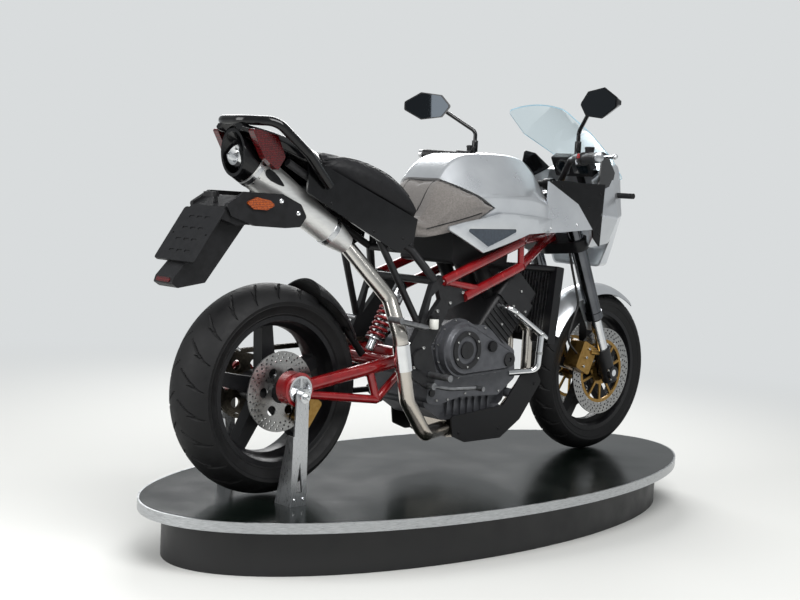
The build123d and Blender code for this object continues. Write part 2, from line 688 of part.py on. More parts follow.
# Frame: painted tube trellis from the steering head, bolted to cast side plates
JOINT_A = (566.0, 160.0, 648.0)
JOINT_B = (935.0, 150.0, 776.0)
JOINT_C = (664.0, 160.0, 597.0)
JOINT_D = (940.0, 150.0, 694.0)
BRACE_FOOT = (735.0, 158.0, 623.0)
PIVOT_BOSS_R = 40.0
PANEL_FRONT_IN = 112.2
PANEL_REAR_IN = 105.4

with BuildPart() as rear_frame:
    # cast plates
    side_panel(
        [(440, 352), (540, 300), (560, 350), (528, 440), (600, 560), (700, 596), (672, 632),
         (560, 668), (520, 640), (470, 500), (430, 430)],
        -PLATE_IN - PLATE_T, -PLATE_IN, corner=10,
    )
    side_panel(
        [(500, 520), (560, 590), (548, 622), (520, 600)],
        -PLATE_IN - PLATE_T, -PLATE_IN, mode=Mode.SUBTRACT,
    )
    pin(PIVOT, -PLATE_IN - PLATE_T - 8, -PLATE_IN, PIVOT_BOSS_R - 8)
    # engine mounts
    pin(at(566, 0, 288), -PLATE_IN, -CASE_HALF, 12)
    # seat rails, their lower stays and the seat's pads
    strut(at(540, -PLATE_IN - 10, 650), at(480, -98, 742), 13)
    strut(at(480, -98, 742), at(-20, -86, 992), 12)
    strut(at(475, -PLATE_IN - 6, 520), at(320, -78, 830), 11)
    strut(at(482, -88, 742), at(482, -88, 779.9), 12)
    pin(at(420, 0, 771), -PANEL_FRONT_IN, -96, 8)
    pin(at(110, 0, 927), -PANEL_REAR_IN, -88, 8)
    mirror(about=Plane.XZ)
    pin(at(480, 0, 742), -98, 98, 12)
    pin(at(130, 0, 917), -88, 88, 11)
    pin(at(540, 0, 648), -PLATE_IN - 5, PLATE_IN + 5, 12)

with BuildPart() as frame_trellis:
    for side in (-1, 1):
        def joint(p, s=side):
            return at(p[0], s * p[1], p[2])

        head_up = along_fork(HEAD_TOP - 24, side * 18, -YOKE_OFFSET)
        head_down = along_fork(HEAD_LOW + 24, side * 18, -YOKE_OFFSET)
        for a, b, r in (
            (joint(JOINT_A), joint(JOINT_B), TUBE_R), (joint(JOINT_B), head_up, TUBE_R),
            (joint(JOINT_C), joint(JOINT_D), TUBE_R), (joint(JOINT_D), head_down, TUBE_R),
            (joint(JOINT_B), joint(JOINT_D), BRACE_R), (joint(JOINT_A), joint(BRACE_FOOT), BRACE_R),
            (joint(JOINT_B), head_down, BRACE_R),
        ):
            strut(a, b, r)
        # engine mount and tank pad
        pin(joint(JOINT_D), side * (CASE_HALF + 6.2), side * JOINT_D[1], 15)
        strut(joint(JOINT_B), at(JOINT_B[0], side * JOINT_B[1], TANK_FLOOR - 0.1), 14)
    strut(along_fork(HEAD_LOW, 0, -YOKE_OFFSET), along_fork(HEAD_TOP, 0, -YOKE_OFFSET), HEAD_R)
    pin(at(*JOINT_B), -JOINT_B[1], JOINT_B[1], BRACE_R)
    with Locations(Plane(origin=along_fork(HEAD_LOW - 5, 0, -YOKE_OFFSET), z_dir=FORK_UP)):
        Cylinder(
            STEM_R + 0.3, HEAD_TOP - HEAD_LOW + 10,
            align=(Align.CENTER, Align.CENTER, Align.MIN), mode=Mode.SUBTRACT,
        )
    add(rear_frame.part, mode=Mode.SUBTRACT)

# Side stand, folded back along the left side; it swings about a leaning axis
STAND_PIVOT = at(578, 166, 258)
STAND_AXIS = Vector(0, -0.89, -0.456).normalized()
STAND_BOSS = 15.0
STAND_LENGTH = 250.0

STAND_FOOT = STAND_PIVOT + Vector(-STAND_LENGTH, 0, 0)

with BuildPart() as side_stand:
    strut(STAND_PIVOT + STAND_AXIS * STAND_BOSS, STAND_PIVOT - STAND_AXIS * 13, 16)
    strut(STAND_PIVOT, STAND_FOOT, 10)
    with Locations(Plane(origin=STAND_FOOT, x_dir=STAND_AXIS, z_dir=(-1, 0, 0))):
        Box(46, 28, 6)

POCKET_Y = 84.0
BELLY_LUGS = ((880.0, 215.0), (950.0, 262.0))

# Engine: crankcase with sump, inclined cylinders with head, and side covers
with BuildPart() as crankcase:
    side_panel(
        [(545, 330), (556, 440), (640, 500), (800, 500), (950, 410), (972, 320), (930, 236), (860, 190),
         (640, 190), (560, 240)],
        -SUMP_HALF, SUMP_HALF, corner=24,
    )
    side_panel(
        [(545, 256), (556, 440), (640, 500), (800, 500), (950, 410), (960, 316), (880, 262), (700, 268),
         (600, 246)],
        -CASE_HALF, CASE_HALF, corner=18,
    )
    for x, z in BELLY_LUGS:
        pin(at(x, 0, z), -CASE_HALF, CASE_HALF, 16)
    # pocket for the drive sprocket
    side_panel(
        [(500, 330), (648, 330), (648, 462), (500, 462)], POCKET_Y, CASE_HALF + 5, mode=Mode.SUBTRACT,
    )
    # drive sprocket on its shaft
    pin(at(DRIVE[0], 0, DRIVE[1]), POCKET_Y - 2, CHAIN_Y + 4, sprocket_radius(FRONT_TEETH) - CHAIN_HALF - 1)
    # lug of the side stand
    strut(STAND_PIVOT + STAND_AXIS * 58, STAND_PIVOT + STAND_AXIS * (STAND_BOSS + 0.2), 13)

CYLINDER_FOOT = at(838, 0, 452)
CYLINDER_PLANE = Plane(
    origin=CYLINDER_FOOT, x_dir=(cos(radians(CYLINDER_TILT)), 0, -sin(radians(CYLINDER_TILT))),
    z_dir=(sin(radians(CYLINDER_TILT)), 0, cos(radians(CYLINDER_TILT))),
)
BLOCK_DEPTH = 150.0
BLOCK_HEIGHT = 128.0
HEAD_HEIGHT = 74.0
COVER_HEIGHT = 44.0
BLOCK_HALF = 140.0

with BuildPart() as cylinder_block:
    for start, height, depth, half in (
        (0, BLOCK_HEIGHT, BLOCK_DEPTH, BLOCK_HALF - 8),
        (BLOCK_HEIGHT, HEAD_HEIGHT, BLOCK_DEPTH + 22, BLOCK_HALF),
        (BLOCK_HEIGHT + HEAD_HEIGHT, COVER_HEIGHT, BLOCK_DEPTH, BLOCK_HALF - 6),
    ):
        with BuildSketch(CYLINDER_PLANE.offset(start)):
            RectangleRounded(depth, 2 * half, 16)
        extrude(amount=height)
    add(crankcase.part, mode=Mode.SUBTRACT)

COVER_MAIN = (664.0, 428.0)
COVER_NOSE = (868.0, 388.0)
COVER_MAIN_R = 98.0
COVER_NOSE_R = 48.0
COVER_EDGE = 12.0
COVER_CROWN = 14.0
CLUTCH_R = 62.0
CLUTCH_STEP = 6.0
GENERATOR = (800.0, 352.0)
GENERATOR_R = 88.0
GENERATOR_OUT = 44.0

with BuildPart() as engine_covers:
    # bolting flange, the cover's wall set in from it, and its sloped crown
    for y, drawn_in, depth, slope in (
        (CASE_HALF, 0, COVER_EDGE, 0),
        (CASE_HALF + COVER_EDGE, 8, COVER_DEPTH - COVER_EDGE - COVER_CROWN, 0),
        (CASE_HALF + COVER_DEPTH - COVER_CROWN, 14, COVER_CROWN, 30),
    ):
        with BuildSketch(side_plane(-y)):
            with BuildLine() as outline:
                CenterArc(COVER_MAIN, COVER_MAIN_R - drawn_in, 0, 360)
                CenterArc(COVER_NOSE, COVER_NOSE_R - drawn_in, 0, 360)
            make_hull(outline.edges())
        extrude(amount=depth, taper=slope)
    # clutch's round lid with a dished middle, and the pick-up's cap ahead of it
    with BuildSketch(side_plane(-CASE_HALF - COVER_DEPTH)):
        with Locations(COVER_MAIN):
            Circle(CLUTCH_R)
            Circle(CLUTCH_R - 16, mode=Mode.SUBTRACT)
            Circle(CLUTCH_R - 34)
        with Locations(COVER_NOSE):
            Circle(COVER_NOSE_R / 2)
            RegularPolygon(8, 6, mode=Mode.SUBTRACT)
    extrude(amount=CLUTCH_STEP)
    # generator on the left, its lid stepped
    with BuildSketch(side_plane(CASE_HALF + GENERATOR_OUT)):
        with Locations(GENERATOR):
            Circle(GENERATOR_R)
    extrude(amount=GENERATOR_OUT)
    with BuildSketch(side_plane(CASE_HALF + GENERATOR_OUT + CLUTCH_STEP)):
        with Locations(GENERATOR):
            Circle(CLUTCH_R)
            Circle(CLUTCH_R - 16, mode=Mode.SUBTRACT)
    extrude(amount=CLUTCH_STEP)
    # cover of the drive sprocket
    side_panel([(568, 322), (696, 322), (696, 480), (568, 480)], CASE_HALF, CASE_HALF + 15, corner=18)

# Exhaust: three headers into a box under the case, a link pipe up the right side and a high silencer
HEADER_R = 18.0
BOX_HALF = 84.0

LINK_R = 24.0
SILENCER_FRONT = at(238, -60, 755)
SILENCER_REAR = at(-152, 0, 1012)
SILENCER_DIR = (SILENCER_REAR - SILENCER_FRONT).normalized()
SILENCER_R_FRONT = 44.0
SILENCER_R = 56.0
CAP_LENGTH = 66.0
CAP_OVERHANG = 42.0
CAP_FLOOR = 10.0
OUTLET_R = 30.0


def silencer_plane(run):
    """Plane square to the silencer's axis, run back from its front end."""
    return Plane(origin=SILENCER_FRONT + SILENCER_DIR * run, x_dir=(0, 1, 0), z_dir=SILENCER_DIR)


SILENCER_LENGTH = (SILENCER_REAR - SILENCER_FRONT).length

with BuildPart() as silencer:
    with BuildSketch(silencer_plane(0)):
        Circle(LINK_R + 6)
    with BuildSketch(silencer_plane(60)):
        Circle(SILENCER_R_FRONT)
    loft()
    with BuildSketch(silencer_plane(60)):
        Circle(SILENCER_R_FRONT)
    with BuildSketch(silencer_plane(SILENCER_LENGTH - CAP_LENGTH)):
        Circle(SILENCER_R)
    loft()

with BuildPart() as exhaust_pipes:
    for y in (-88, 0, 88):
        bent_bar(
            [at(1000, y, 531), at(1066, y, 476), at(1066, y, 300), at(962, y * 0.6, 154),
             at(860, y * 0.6, 154)],
            40, HEADER_R,
        )
    side_panel([(690, 124), (880, 124), (890, 189.9), (690, 189.9)], -BOX_HALF, BOX_HALF, corner=12)
    add(cylinder_block.part, mode=Mode.SUBTRACT)
    # link pipe
    bent_bar(
        [at(700, -60, 152), at(486, -192, 172), at(405, -192, 283), at(362, -192, 484), at(352, -146, 596),
         SILENCER_FRONT],
        48, LINK_R,
    )
    add(silencer.part, mode=Mode.SUBTRACT)

with BuildPart() as silencer_cap:
    with BuildSketch(silencer_plane(SILENCER_LENGTH - CAP_LENGTH)):
        Circle(SILENCER_R + 2)
    extrude(amount=CAP_LENGTH + CAP_OVERHANG)
    with BuildSketch(silencer_plane(SILENCER_LENGTH - CAP_LENGTH + CAP_FLOOR)):
        Circle(SILENCER_R - 6)
    extrude(amount=CAP_LENGTH + CAP_OVERHANG, mode=Mode.SUBTRACT)
    # outlet tube, and the end cut upright
    with BuildSketch(silencer_plane(SILENCER_LENGTH - CAP_LENGTH)):
        Circle(OUTLET_R)
        Circle(OUTLET_R - 4, mode=Mode.SUBTRACT)
    extrude(amount=CAP_LENGTH)
    with Locations(SILENCER_REAR + Vector(-100, 0, 0)):
        Box(200, 300, 400, mode=Mode.SUBTRACT)

with BuildPart() as silencer_room:
    with BuildSketch(silencer_plane(0)):
        Circle(SILENCER_R + 8)
    extrude(amount=SILENCER_LENGTH + CAP_OVERHANG + 40)

# Cooling and induction
with BuildPart() as radiator:
    side_panel([(1084, 430), (1122, 424), (1150, 690), (1112, 696)], -165, 165, corner=6)
    # core set back between the end tanks, on both faces
    side_panel([(1080, 452), (1096, 452), (1120, 672), (1104, 674)], -135, 135, mode=Mode.SUBTRACT)
    side_panel([(1114, 446), (1130, 446), (1154, 666), (1138, 668)], -135, 135, mode=Mode.SUBTRACT)
    for side in (-1, 1):
        strut(at(1125, side * 150, 684), at(940, side * 150, 694), 8)
    add(frame_trellis.part, mode=Mode.SUBTRACT)

with BuildPart() as coolant_pipes:
    bent_bar([at(880, -120, 560), at(880, -172, 556), at(1062, -172, 452), at(1098, -140, 446)], 20, 11)
    bent_bar([at(1040, -172, 465), at(1030, -172, 340), at(930, -130, 332)], 30, 11)
    add(cylinder_block.part, mode=Mode.SUBTRACT)
    add(crankcase.part, mode=Mode.SUBTRACT)
    add(radiator.part, mode=Mode.SUBTRACT)

with BuildPart() as airbox:
    side_panel([(640, 700), (900, 700), (910, 811.9), (640, 811.9)], -122, 122, corner=14)
    for y in (-85, 0, 85):
        strut(at(790, y, 720), at(880, y, 580), 24)
    add(cylinder_block.part, mode=Mode.SUBTRACT)
    add(crankcase.part, mode=Mode.SUBTRACT)

# Tank and rider's seat share one smooth body, parted along a seam in side view
TANK_ROWS = [
    (468, 90, 780, 110, 838, 70, 868, 12),
    (550, 135, 780, 150, 840, 90, 878, 14),
    (620, 160, 792, 174, 900, 80, 1000, 16),
    (720, 188, 812, 196, 925, 85, 1056, 20),
    (850, 196, 812, 206, 925, 95, 1064, 20),
    (980, 178, 812, 186, 915, 90, 1052, 20),
    (1085, 132, 812, 142, 900, 60, 985, 16),
]
SEAT_SEAM = [(430, 740), (505, 777), (640, 812), (749, 887), (606, 968), (560, 1010), (430, 1010)]

COWL_SEAM = [(985, 1120), (985, 1046), (1033, 1001), (1200, 905), (1200, 1120)]

with BuildPart() as fuel_tank:
    body_loft(TANK_ROWS)
    side_panel(SEAT_SEAM, -300, 300, mode=Mode.SUBTRACT)
    side_panel(COWL_SEAM, -300, 300, mode=Mode.SUBTRACT)
    # flat floor, raised at the nose over the frame's tubes
    side_panel(
        [(400, 700), (1200, 700), (1200, TANK_FLOOR + 98), (972, TANK_FLOOR), (400, TANK_FLOOR)],
        -300, 300, mode=Mode.SUBTRACT,
    )

with BuildPart() as rider_seat:
    body_loft(TANK_ROWS)
    side_panel(SEAT_SEAM, -300, 300, mode=Mode.INTERSECT)
    side_panel([(400, 700), (1200, 700), (1200, 780), (400, 780)], -300, 300, mode=Mode.SUBTRACT)

FLANK = (1046, -156, 1300, -196)
FLANK_T = 7.0
FLANK_SEAM = [(1254, 826), (1182, 912), (1046, 985)]
INLAY = [(622, 818), (860, 822), (720, 762)]
INLAY_DEPTH = 2.0
WING_OUT = 13.0
WING_T = 9.0
WING_ROWS = [
    (548, 140, 730, 158, 846, 146, 900, 10),
    (720, 186, 730, 200, 866, 190, 900, 10),
    (850, 194, 730, 208, 870, 200, 900, 10),
    (980, 178, 730, 190, 866, 182, 900, 10),
    (1085, 134, 730, 146, 862, 138, 900, 10),
]


def widened(rows, extra):
    return [(x, a + extra, b, c + extra, d, e + extra, f, g) for x, a, b, c, d, e, f, g in rows]


with BuildPart() as tank_wings:
    body_loft(widened(WING_ROWS, WING_OUT))
    side_panel(
        [(556, 819), (704, 742), (905, 806), (1064, 814), (1064, 858), (770, 872), (620, 838)],
        -300, 300, corner=8, mode=Mode.INTERSECT,
    )
    with BuildPart(mode=Mode.SUBTRACT):
        body_loft(widened(WING_ROWS, WING_OUT - WING_T))
    skin([(1046, 808), *FLANK_SEAM], *FLANK, FLANK_T)
    mirror(about=Plane.XZ)
    add(fuel_tank.part, mode=Mode.SUBTRACT)
    add(rider_seat.part, mode=Mode.SUBTRACT)
    # recess for the inlay
    side_panel(INLAY, -300, 300, corner=6, mode=Mode.SUBTRACT)
    with BuildPart():
        body_loft(widened(WING_ROWS, WING_OUT - INLAY_DEPTH))
        side_panel(INLAY, -300, 300, corner=6, mode=Mode.INTERSECT)
        with BuildPart(mode=Mode.SUBTRACT):
            body_loft(widened(WING_ROWS, WING_OUT - WING_T))
        add(fuel_tank.part, mode=Mode.SUBTRACT)

# Tail: pillion seat on a tray between side panels, rails to hold, lamps and plate holder
SEAT_LINE = -0.3929


def seat_line(x):
    """Height of the pillion seat's flat underside."""
    return 950 + (x - 200) * SEAT_LINE


with BuildPart() as pillion_seat:
    body_loft([
        (118, 60, seat_line(118), 76, 1004, 54, 1028, 8),
        (250, 104, seat_line(250), 118, 975, 90, 1012, 14),
        (390, 116, seat_line(390), 130, 922, 100, 968, 14),
        (480, 104, seat_line(480), 122, 866, 92, 902, 12),
    ])
    add(rider_seat.part, mode=Mode.SUBTRACT)

PANEL_FRONT_Y = 114.0
PANEL_REAR_Y = 104.0
TRAY_REAR = 40.0
TRAY_FRONT = 478.0
TRAY_T = 6.0

with BuildPart() as tail_panels:
    tray_rear = (TRAY_REAR, seat_line(TRAY_REAR) - SHAFT_GAP)
    tray_front = (TRAY_FRONT, seat_line(TRAY_FRONT) - SHAFT_GAP)
    skin(
        [tray_rear, (TRAY_REAR, 908), (250, 806), (400, 736), (466, 770), tray_front],
        TRAY_FRONT + 2, -PANEL_FRONT_Y, TRAY_REAR, -PANEL_REAR_Y, -8,
    )
    mirror(about=Plane.XZ)
    side_panel(
        [tray_rear, tray_front, (TRAY_FRONT, tray_front[1] - TRAY_T), (TRAY_REAR, tray_rear[1] - TRAY_T)],
        -PANEL_REAR_Y - 2, PANEL_REAR_Y + 2,
    )
    # cowl over the silencer
    body_loft([
        (-168, 56, 1076, 64, 1084, 54, 1094, 3),
        (-40, 82, 1030, 90, 1050, 74, 1070, 6),
        (117, 74, seat_line(117), 80, 998, 56, 1024, 6),
    ])
    add(silencer_room.part, mode=Mode.SUBTRACT)
    add(pillion_seat.part, mode=Mode.SUBTRACT)
    add(rider_seat.part, mode=Mode.SUBTRACT)

with BuildPart() as grab_rails:
    bent_bar(
        [at(112, -122, 930), at(14, -140, 1018), at(-92, -126, 1104), at(-160, -44, 1104),
         at(-160, 44, 1104), at(-92, 126, 1104), at(14, 140, 1018), at(112, 122, 930)],
        60, 14,
    )
    add(tail_panels.part, mode=Mode.SUBTRACT)

with BuildPart() as tail_lamps:
    side_panel([(-160, 1082), (-110, 998), (-62, 966), (-36, 1006), (-66, 1066)], -98, -74, corner=6)
    add(tail_panels.part, mode=Mode.SUBTRACT)
    add(silencer_room.part, mode=Mode.SUBTRACT)
    mirror(about=Plane.XZ)

PLATE_TOP = (-238.0, 850.0)
PLATE_LOW = (-338.0, 702.0)
PLATE_HALF = 100.0
PLATE_BOLT_Y = 80.0
PLATE_BOLT_R = 3.25
PLATE_SLOT_STEP = 38.0
SPOON_HALF = 46.0
PLATE_MID = at((PLATE_TOP[0] + PLATE_LOW[0]) / 2, 0, (PLATE_TOP[1] + PLATE_LOW[1]) / 2)
PLATE_RUN = Vector(PLATE_LOW[0] - PLATE_TOP[0], 0, PLATE_LOW[1] - PLATE_TOP[1])
PLATE_FACE = Plane(origin=PLATE_MID, x_dir=(0, -1, 0), z_dir=(PLATE_RUN.Z, 0, -PLATE_RUN.X))

HANGER_BOLTS = ((24.0, 846.0), (-40.0, 880.0))
ARM_OUT = 92.0
ARM_T = 14.0

with BuildPart() as plate_holder:
    # arms beside the silencer, on two bars under it
    side_panel(
        [(56, 836), (34, 872), (-36, 900), (-168, 902), (-232, 864), (-214, 832), (-130, 806), (-22, 802),
         (34, 806)],
        -ARM_OUT, ARM_T - ARM_OUT, corner=9,
    )
    mirror(about=Plane.XZ)
    for x, z in HANGER_BOLTS:
        pin(at(x, 0, z), -ARM_OUT, ARM_OUT, 9)
    side_panel(
        [(-112, 866), (-170, 890), (-230, 858), (-249, 826), (-190, 806), (-118, 812)],
        8 - ARM_OUT, ARM_OUT - 8, corner=6,
    )
    # spoon under the plate, drawn down to the reflector
    side_panel(
        [(-206, 830), (-130, 812), (-262, 642), (-352, 628), (-372, 640), (-366, 658)],
        -SPOON_HALF, SPOON_HALF, corner=5,
    )
    with BuildSketch(PLATE_FACE):
        Rectangle(2 * PLATE_BOLT_Y + 24, PLATE_RUN.length)
    extrude(amount=-6)
    with BuildSketch(PLATE_FACE):
        with Locations((-PLATE_BOLT_Y, 0), (PLATE_BOLT_Y, 0)):
            Circle(PLATE_BOLT_R)
    extrude(amount=-10, mode=Mode.SUBTRACT)
    strut(at(-12, 88, 992), at(-12, 88, 880), 8)
    add(silencer.part, mode=Mode.SUBTRACT)
    add(rear_frame.part, mode=Mode.SUBTRACT)

with BuildPart() as number_plate:
    with BuildSketch(PLATE_FACE):
        RectangleRounded(2 * PLATE_HALF, PLATE_RUN.length, 10)
        with Locations((-PLATE_BOLT_Y, 0), (PLATE_BOLT_Y, 0)):
            Circle(PLATE_BOLT_R, mode=Mode.SUBTRACT)
        # slots that lighten the carrier
        with GridLocations(PLATE_SLOT_STEP, PLATE_SLOT_STEP, 3, 4):
            SlotOverall(PLATE_SLOT_STEP * 0.66, 8, mode=Mode.SUBTRACT)
    extrude(amount=2)

with BuildPart() as rear_indicators:
    side_panel(
        [(-168, 872), (-132, 888), (-84, 880), (-66, 866), (-96, 852), (-142, 854)],
        -ARM_OUT - 7, -ARM_OUT, corner=5,
    )
    mirror(about=Plane.XZ)

# Rear suspension, guard and brake
HUGGER_FLARE = Vector(4, 0, 16)

with BuildPart() as hugger:
    guard_blade(REAR_AXLE + HUGGER_FLARE, REAR_TYRE_R + 20, 92, 44, 6, 26, 66)
    strut(at(302, 0, 494), at(BRACE_X, 0, PIVOT_Z - 12), 12)
    add(swingarm.part, mode=Mode.SUBTRACT)

SHOCK_LOW = at(404, 0, 404)
SHOCK_TOP = at(538, 0, 644)

with BuildPart() as rear_shock:
    run = SHOCK_TOP - SHOCK_LOW
    strut(SHOCK_LOW, SHOCK_TOP, 15)
    strut(SHOCK_LOW + run * 0.2, SHOCK_LOW + run * 0.78, 32)
    add(swingarm.part, mode=Mode.SUBTRACT)
    add(rear_frame.part, mode=Mode.SUBTRACT)

with BuildPart() as rear_caliper:
    caliper(
        REAR_AXLE, -REAR_DISC_Y, (0.9, -0.62), REAR_DISC_R, 92,
        (at(84, -98, 268), at(46, -130, 336)),
    )
    add(swingarm.part, mode=Mode.SUBTRACT)
    add(chain_adjusters.part, mode=Mode.SUBTRACT)

# Foot rests and pedals
with BuildPart() as foot_rests:
    pin(at(530, 0, 352), -PLATE_IN - PLATE_T - 92, -PLATE_IN - PLATE_T, 11)
    pin(at(528, 0, 318), -PLATE_IN - PLATE_T - 24, -PLATE_IN - PLATE_T, 11)
    bent_bar([at(528, -178, 318), at(600, -186, 306), at(706, -206, 306)], 40, 7)
    pin(at(700, 0, 306), -236, -200, 8)
    bent_bar([at(480, -150, 505), at(440, -228, 512), at(290, -228, 542)], 20, 9)
    pin(at(292, 0, 542), -272, -218, 10)
    add(rear_frame.part, mode=Mode.SUBTRACT)
    mirror(about=Plane.XZ)

# Front bodywork: hollow nose with lamp, side panels, screen and instruments on a bracket from the head
NOSE_ROWS = [
    (1290, 150, 760, 204, 880, 150, 1000, 20),
    (1400, 112, 690, 190, 870, 140, 1050, 24),
    (1480, 84, 690, 142, 880, 112, 1064, 24),
    (1550, 50, 745, 86, 880, 70, 1028, 18),
    (1592, 24, 830, 40, 900, 28, 975, 10),
]
NOSE_SKIN = 5.0


def shrunk(rows, wall):
    """The same rows drawn in by one wall, for hollowing."""
    out = []
    for x, a, b, c, d, e, f, g in rows:
        out.append((x - wall, a - wall, b + wall, c - wall, d, e - wall, f - wall, max(g - wall, 3)))
    out[0] = (rows[0][0] - 40,) + out[0][1:]
    return out


LAMP_OUTLINE = [(1492, 848), (1640, 800), (1640, 948), (1540, 944)]
FORK_ROOM = [(1240, 600), (1412, 600), (1412, 935), (1240, 935)]

with BuildPart() as nose_solid:
    body_loft(NOSE_ROWS, ruled=True)

with BuildPart() as nose_shell:
    add(nose_solid.part)
    with BuildPart(mode=Mode.SUBTRACT):
        body_loft(shrunk(NOSE_ROWS, NOSE_SKIN), ruled=True)
    side_panel(FORK_ROOM, -150, 150, mode=Mode.SUBTRACT)

with BuildPart() as nose_fairing:
    add(nose_shell.part)
    side_panel(LAMP_OUTLINE, -200, 200, mode=Mode.SUBTRACT)

with BuildPart() as headlamp:
    add(nose_shell.part)
    side_panel(LAMP_OUTLINE, -200, 200, mode=Mode.INTERSECT)

SCREEN_BASE = (1612.0, 1000.0)
SCREEN_TOP = (1140.0, 1254.0)
SCREEN_T = 4.0
SCREEN_HALF = 166.0
SCREEN_SAG = 28.0

with BuildPart() as windscreen:
    slope = Vector(SCREEN_TOP[0] - SCREEN_BASE[0], 0, SCREEN_TOP[1] - SCREEN_BASE[1])
    with BuildSketch(Plane(origin=at(SCREEN_BASE[0], 0, SCREEN_BASE[1]), x_dir=(0, -1, 0), z_dir=slope)):
        with BuildLine():
            ThreePointArc((-SCREEN_HALF, -SCREEN_SAG), (0, 0), (SCREEN_HALF, -SCREEN_SAG))
            Line((SCREEN_HALF, -SCREEN_SAG), (SCREEN_HALF, -SCREEN_SAG - SCREEN_T))
            ThreePointArc(
                (SCREEN_HALF, -SCREEN_SAG - SCREEN_T), (0, -SCREEN_T),
                (-SCREEN_HALF, -SCREEN_SAG - SCREEN_T),
            )
            Line((-SCREEN_HALF, -SCREEN_SAG - SCREEN_T), (-SCREEN_HALF, -SCREEN_SAG))
        make_face()
    extrude(amount=slope.length)
    with BuildSketch(Plane.XY) as plan:
        with BuildLine():
            Polyline(
                *[(x + REAR_X, y) for x, y in (
                    (1580, 60), (1432, 122), (1260, 156), (1142, 132),
                    (1142, -132), (1260, -156), (1432, -122), (1580, -60))],
                close=True,
            )
        make_face()
        fillet(plan.vertices(), 20)
    extrude(amount=2000, mode=Mode.INTERSECT)
    add(nose_solid.part, mode=Mode.SUBTRACT)

with BuildPart() as fairing_sides:
    skin(
        [(1110, 990), (1200, 985), (1300, 985), (1290, 768), (1258, 800), *FLANK_SEAM],
        *FLANK, FLANK_T,
    )
    # ears that carry the screen's edges
    skin(
        [(1276, 960), (1400, 985), (1420, 1030), (1340, 1092), (1296, 1100)],
        1270, -186, 1420, -140, FLANK_T - 1, corner=6,
    )
    add(fuel_tank.part, mode=Mode.SUBTRACT)
    add(tank_wings.part, mode=Mode.SUBTRACT)
    # belly panels
    side_panel(
        [(652, 206), (662, 140), (720, 116), (890, 116), (985, 172), (1086, 296), (1062, 334), (985, 328),
         (900, 226)],
        -CASE_HALF - 11, -CASE_HALF - 5, corner=10,
    )
    for x, z in BELLY_LUGS:
        pin(at(x, 0, z), -CASE_HALF - 5, -CASE_HALF, 10)
    mirror(about=Plane.XZ)
    # cowl over the tank's front
    with BuildPart():
        body_loft(TANK_ROWS)
        side_panel(COWL_SEAM, -300, 300, mode=Mode.INTERSECT)
    add(nose_solid.part, mode=Mode.SUBTRACT)
    add(windscreen.part, mode=Mode.SUBTRACT)

with BuildPart() as instruments:
    strut(along_fork((HEAD_LOW + HEAD_TOP) / 2, 0, -YOKE_OFFSET + 26), at(1440, 0, 950), 14)
    pin(at(1440, 0, 950), -220, 220, 10)
    strut(at(1440, 0, 950), at(1396, 0, 1030), 14)
    side_panel([(1372, 1010), (1402, 1030), (1362, 1096), (1334, 1078)], -84, 84, corner=5)
    add(frame_trellis.part, mode=Mode.SUBTRACT)
    with BuildPart(mode=Mode.INTERSECT):
        with Locations(at(1300, 0, 900)):
            Box(600, 500, 500)
    add(nose_shell.part, mode=Mode.SUBTRACT)

os.makedirs("parts", exist_ok=True)
PARTS = {
    "plinth_base": plinth_base, "plinth_deck": plinth_deck, "plinth_rim": plinth_rim,
    "stand_posts": stand_posts, "rear_tyre": rear_tyre, "rear_rim": rear_rim, "rear_disc": rear_disc,
    "rear_sprocket": rear_sprocket, "front_tyre": front_tyre, "front_rim": front_rim,
    "front_discs": front_discs, "disc_carriers": disc_carriers, "rear_axle": rear_axle,
    "front_axle": front_axle, "swingarm": swingarm, "chain_adjusters": chain_adjusters,
    "drive_chain": drive_chain, "fork_sliders": fork_sliders, "fork_outers": fork_outers, "yokes": yokes,
    "handlebar": handlebar, "grips": grips, "bar_controls": bar_controls, "levers": levers,
    "mirrors": mirrors, "mirror_glass": mirror_glass, "front_mudguard": front_mudguard,
    "front_calipers": front_calipers, "brake_hoses": brake_hoses, "rear_frame": rear_frame,
    "frame_trellis": frame_trellis, "crankcase": crankcase, "cylinder_block": cylinder_block,
    "engine_covers": engine_covers, "exhaust_pipes": exhaust_pipes, "silencer": silencer,
    "silencer_cap": silencer_cap, "radiator": radiator, "coolant_pipes": coolant_pipes, "airbox": airbox,
    "fuel_tank": fuel_tank, "rider_seat": rider_seat, "tank_wings": tank_wings,
    "pillion_seat": pillion_seat, "tail_panels": tail_panels, "grab_rails": grab_rails,
    "tail_lamps": tail_lamps, "plate_holder": plate_holder, "number_plate": number_plate,
    "rear_indicators": rear_indicators, "hugger": hugger, "rear_shock": rear_shock,
    "rear_caliper": rear_caliper, "foot_rests": foot_rests, "side_stand": side_stand,
    "nose_fairing": nose_fairing, "headlamp": headlamp, "fairing_sides": fairing_sides,
    "windscreen": windscreen, "instruments": instruments,
}
for name, piece in PARTS.items():
    piece.part.label = name
    export_step(piece.part, f"parts/{name}.step")
print(len(PARTS), "pieces")
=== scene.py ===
"""Looks of a half-faired road motorcycle on an oval display plinth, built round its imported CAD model."""

from math import asin, atan2, cos, pi, radians, sin, sqrt

import bmesh
import bpy
from mathutils import Matrix, Vector
from mathutils.bvhtree import BVHTree


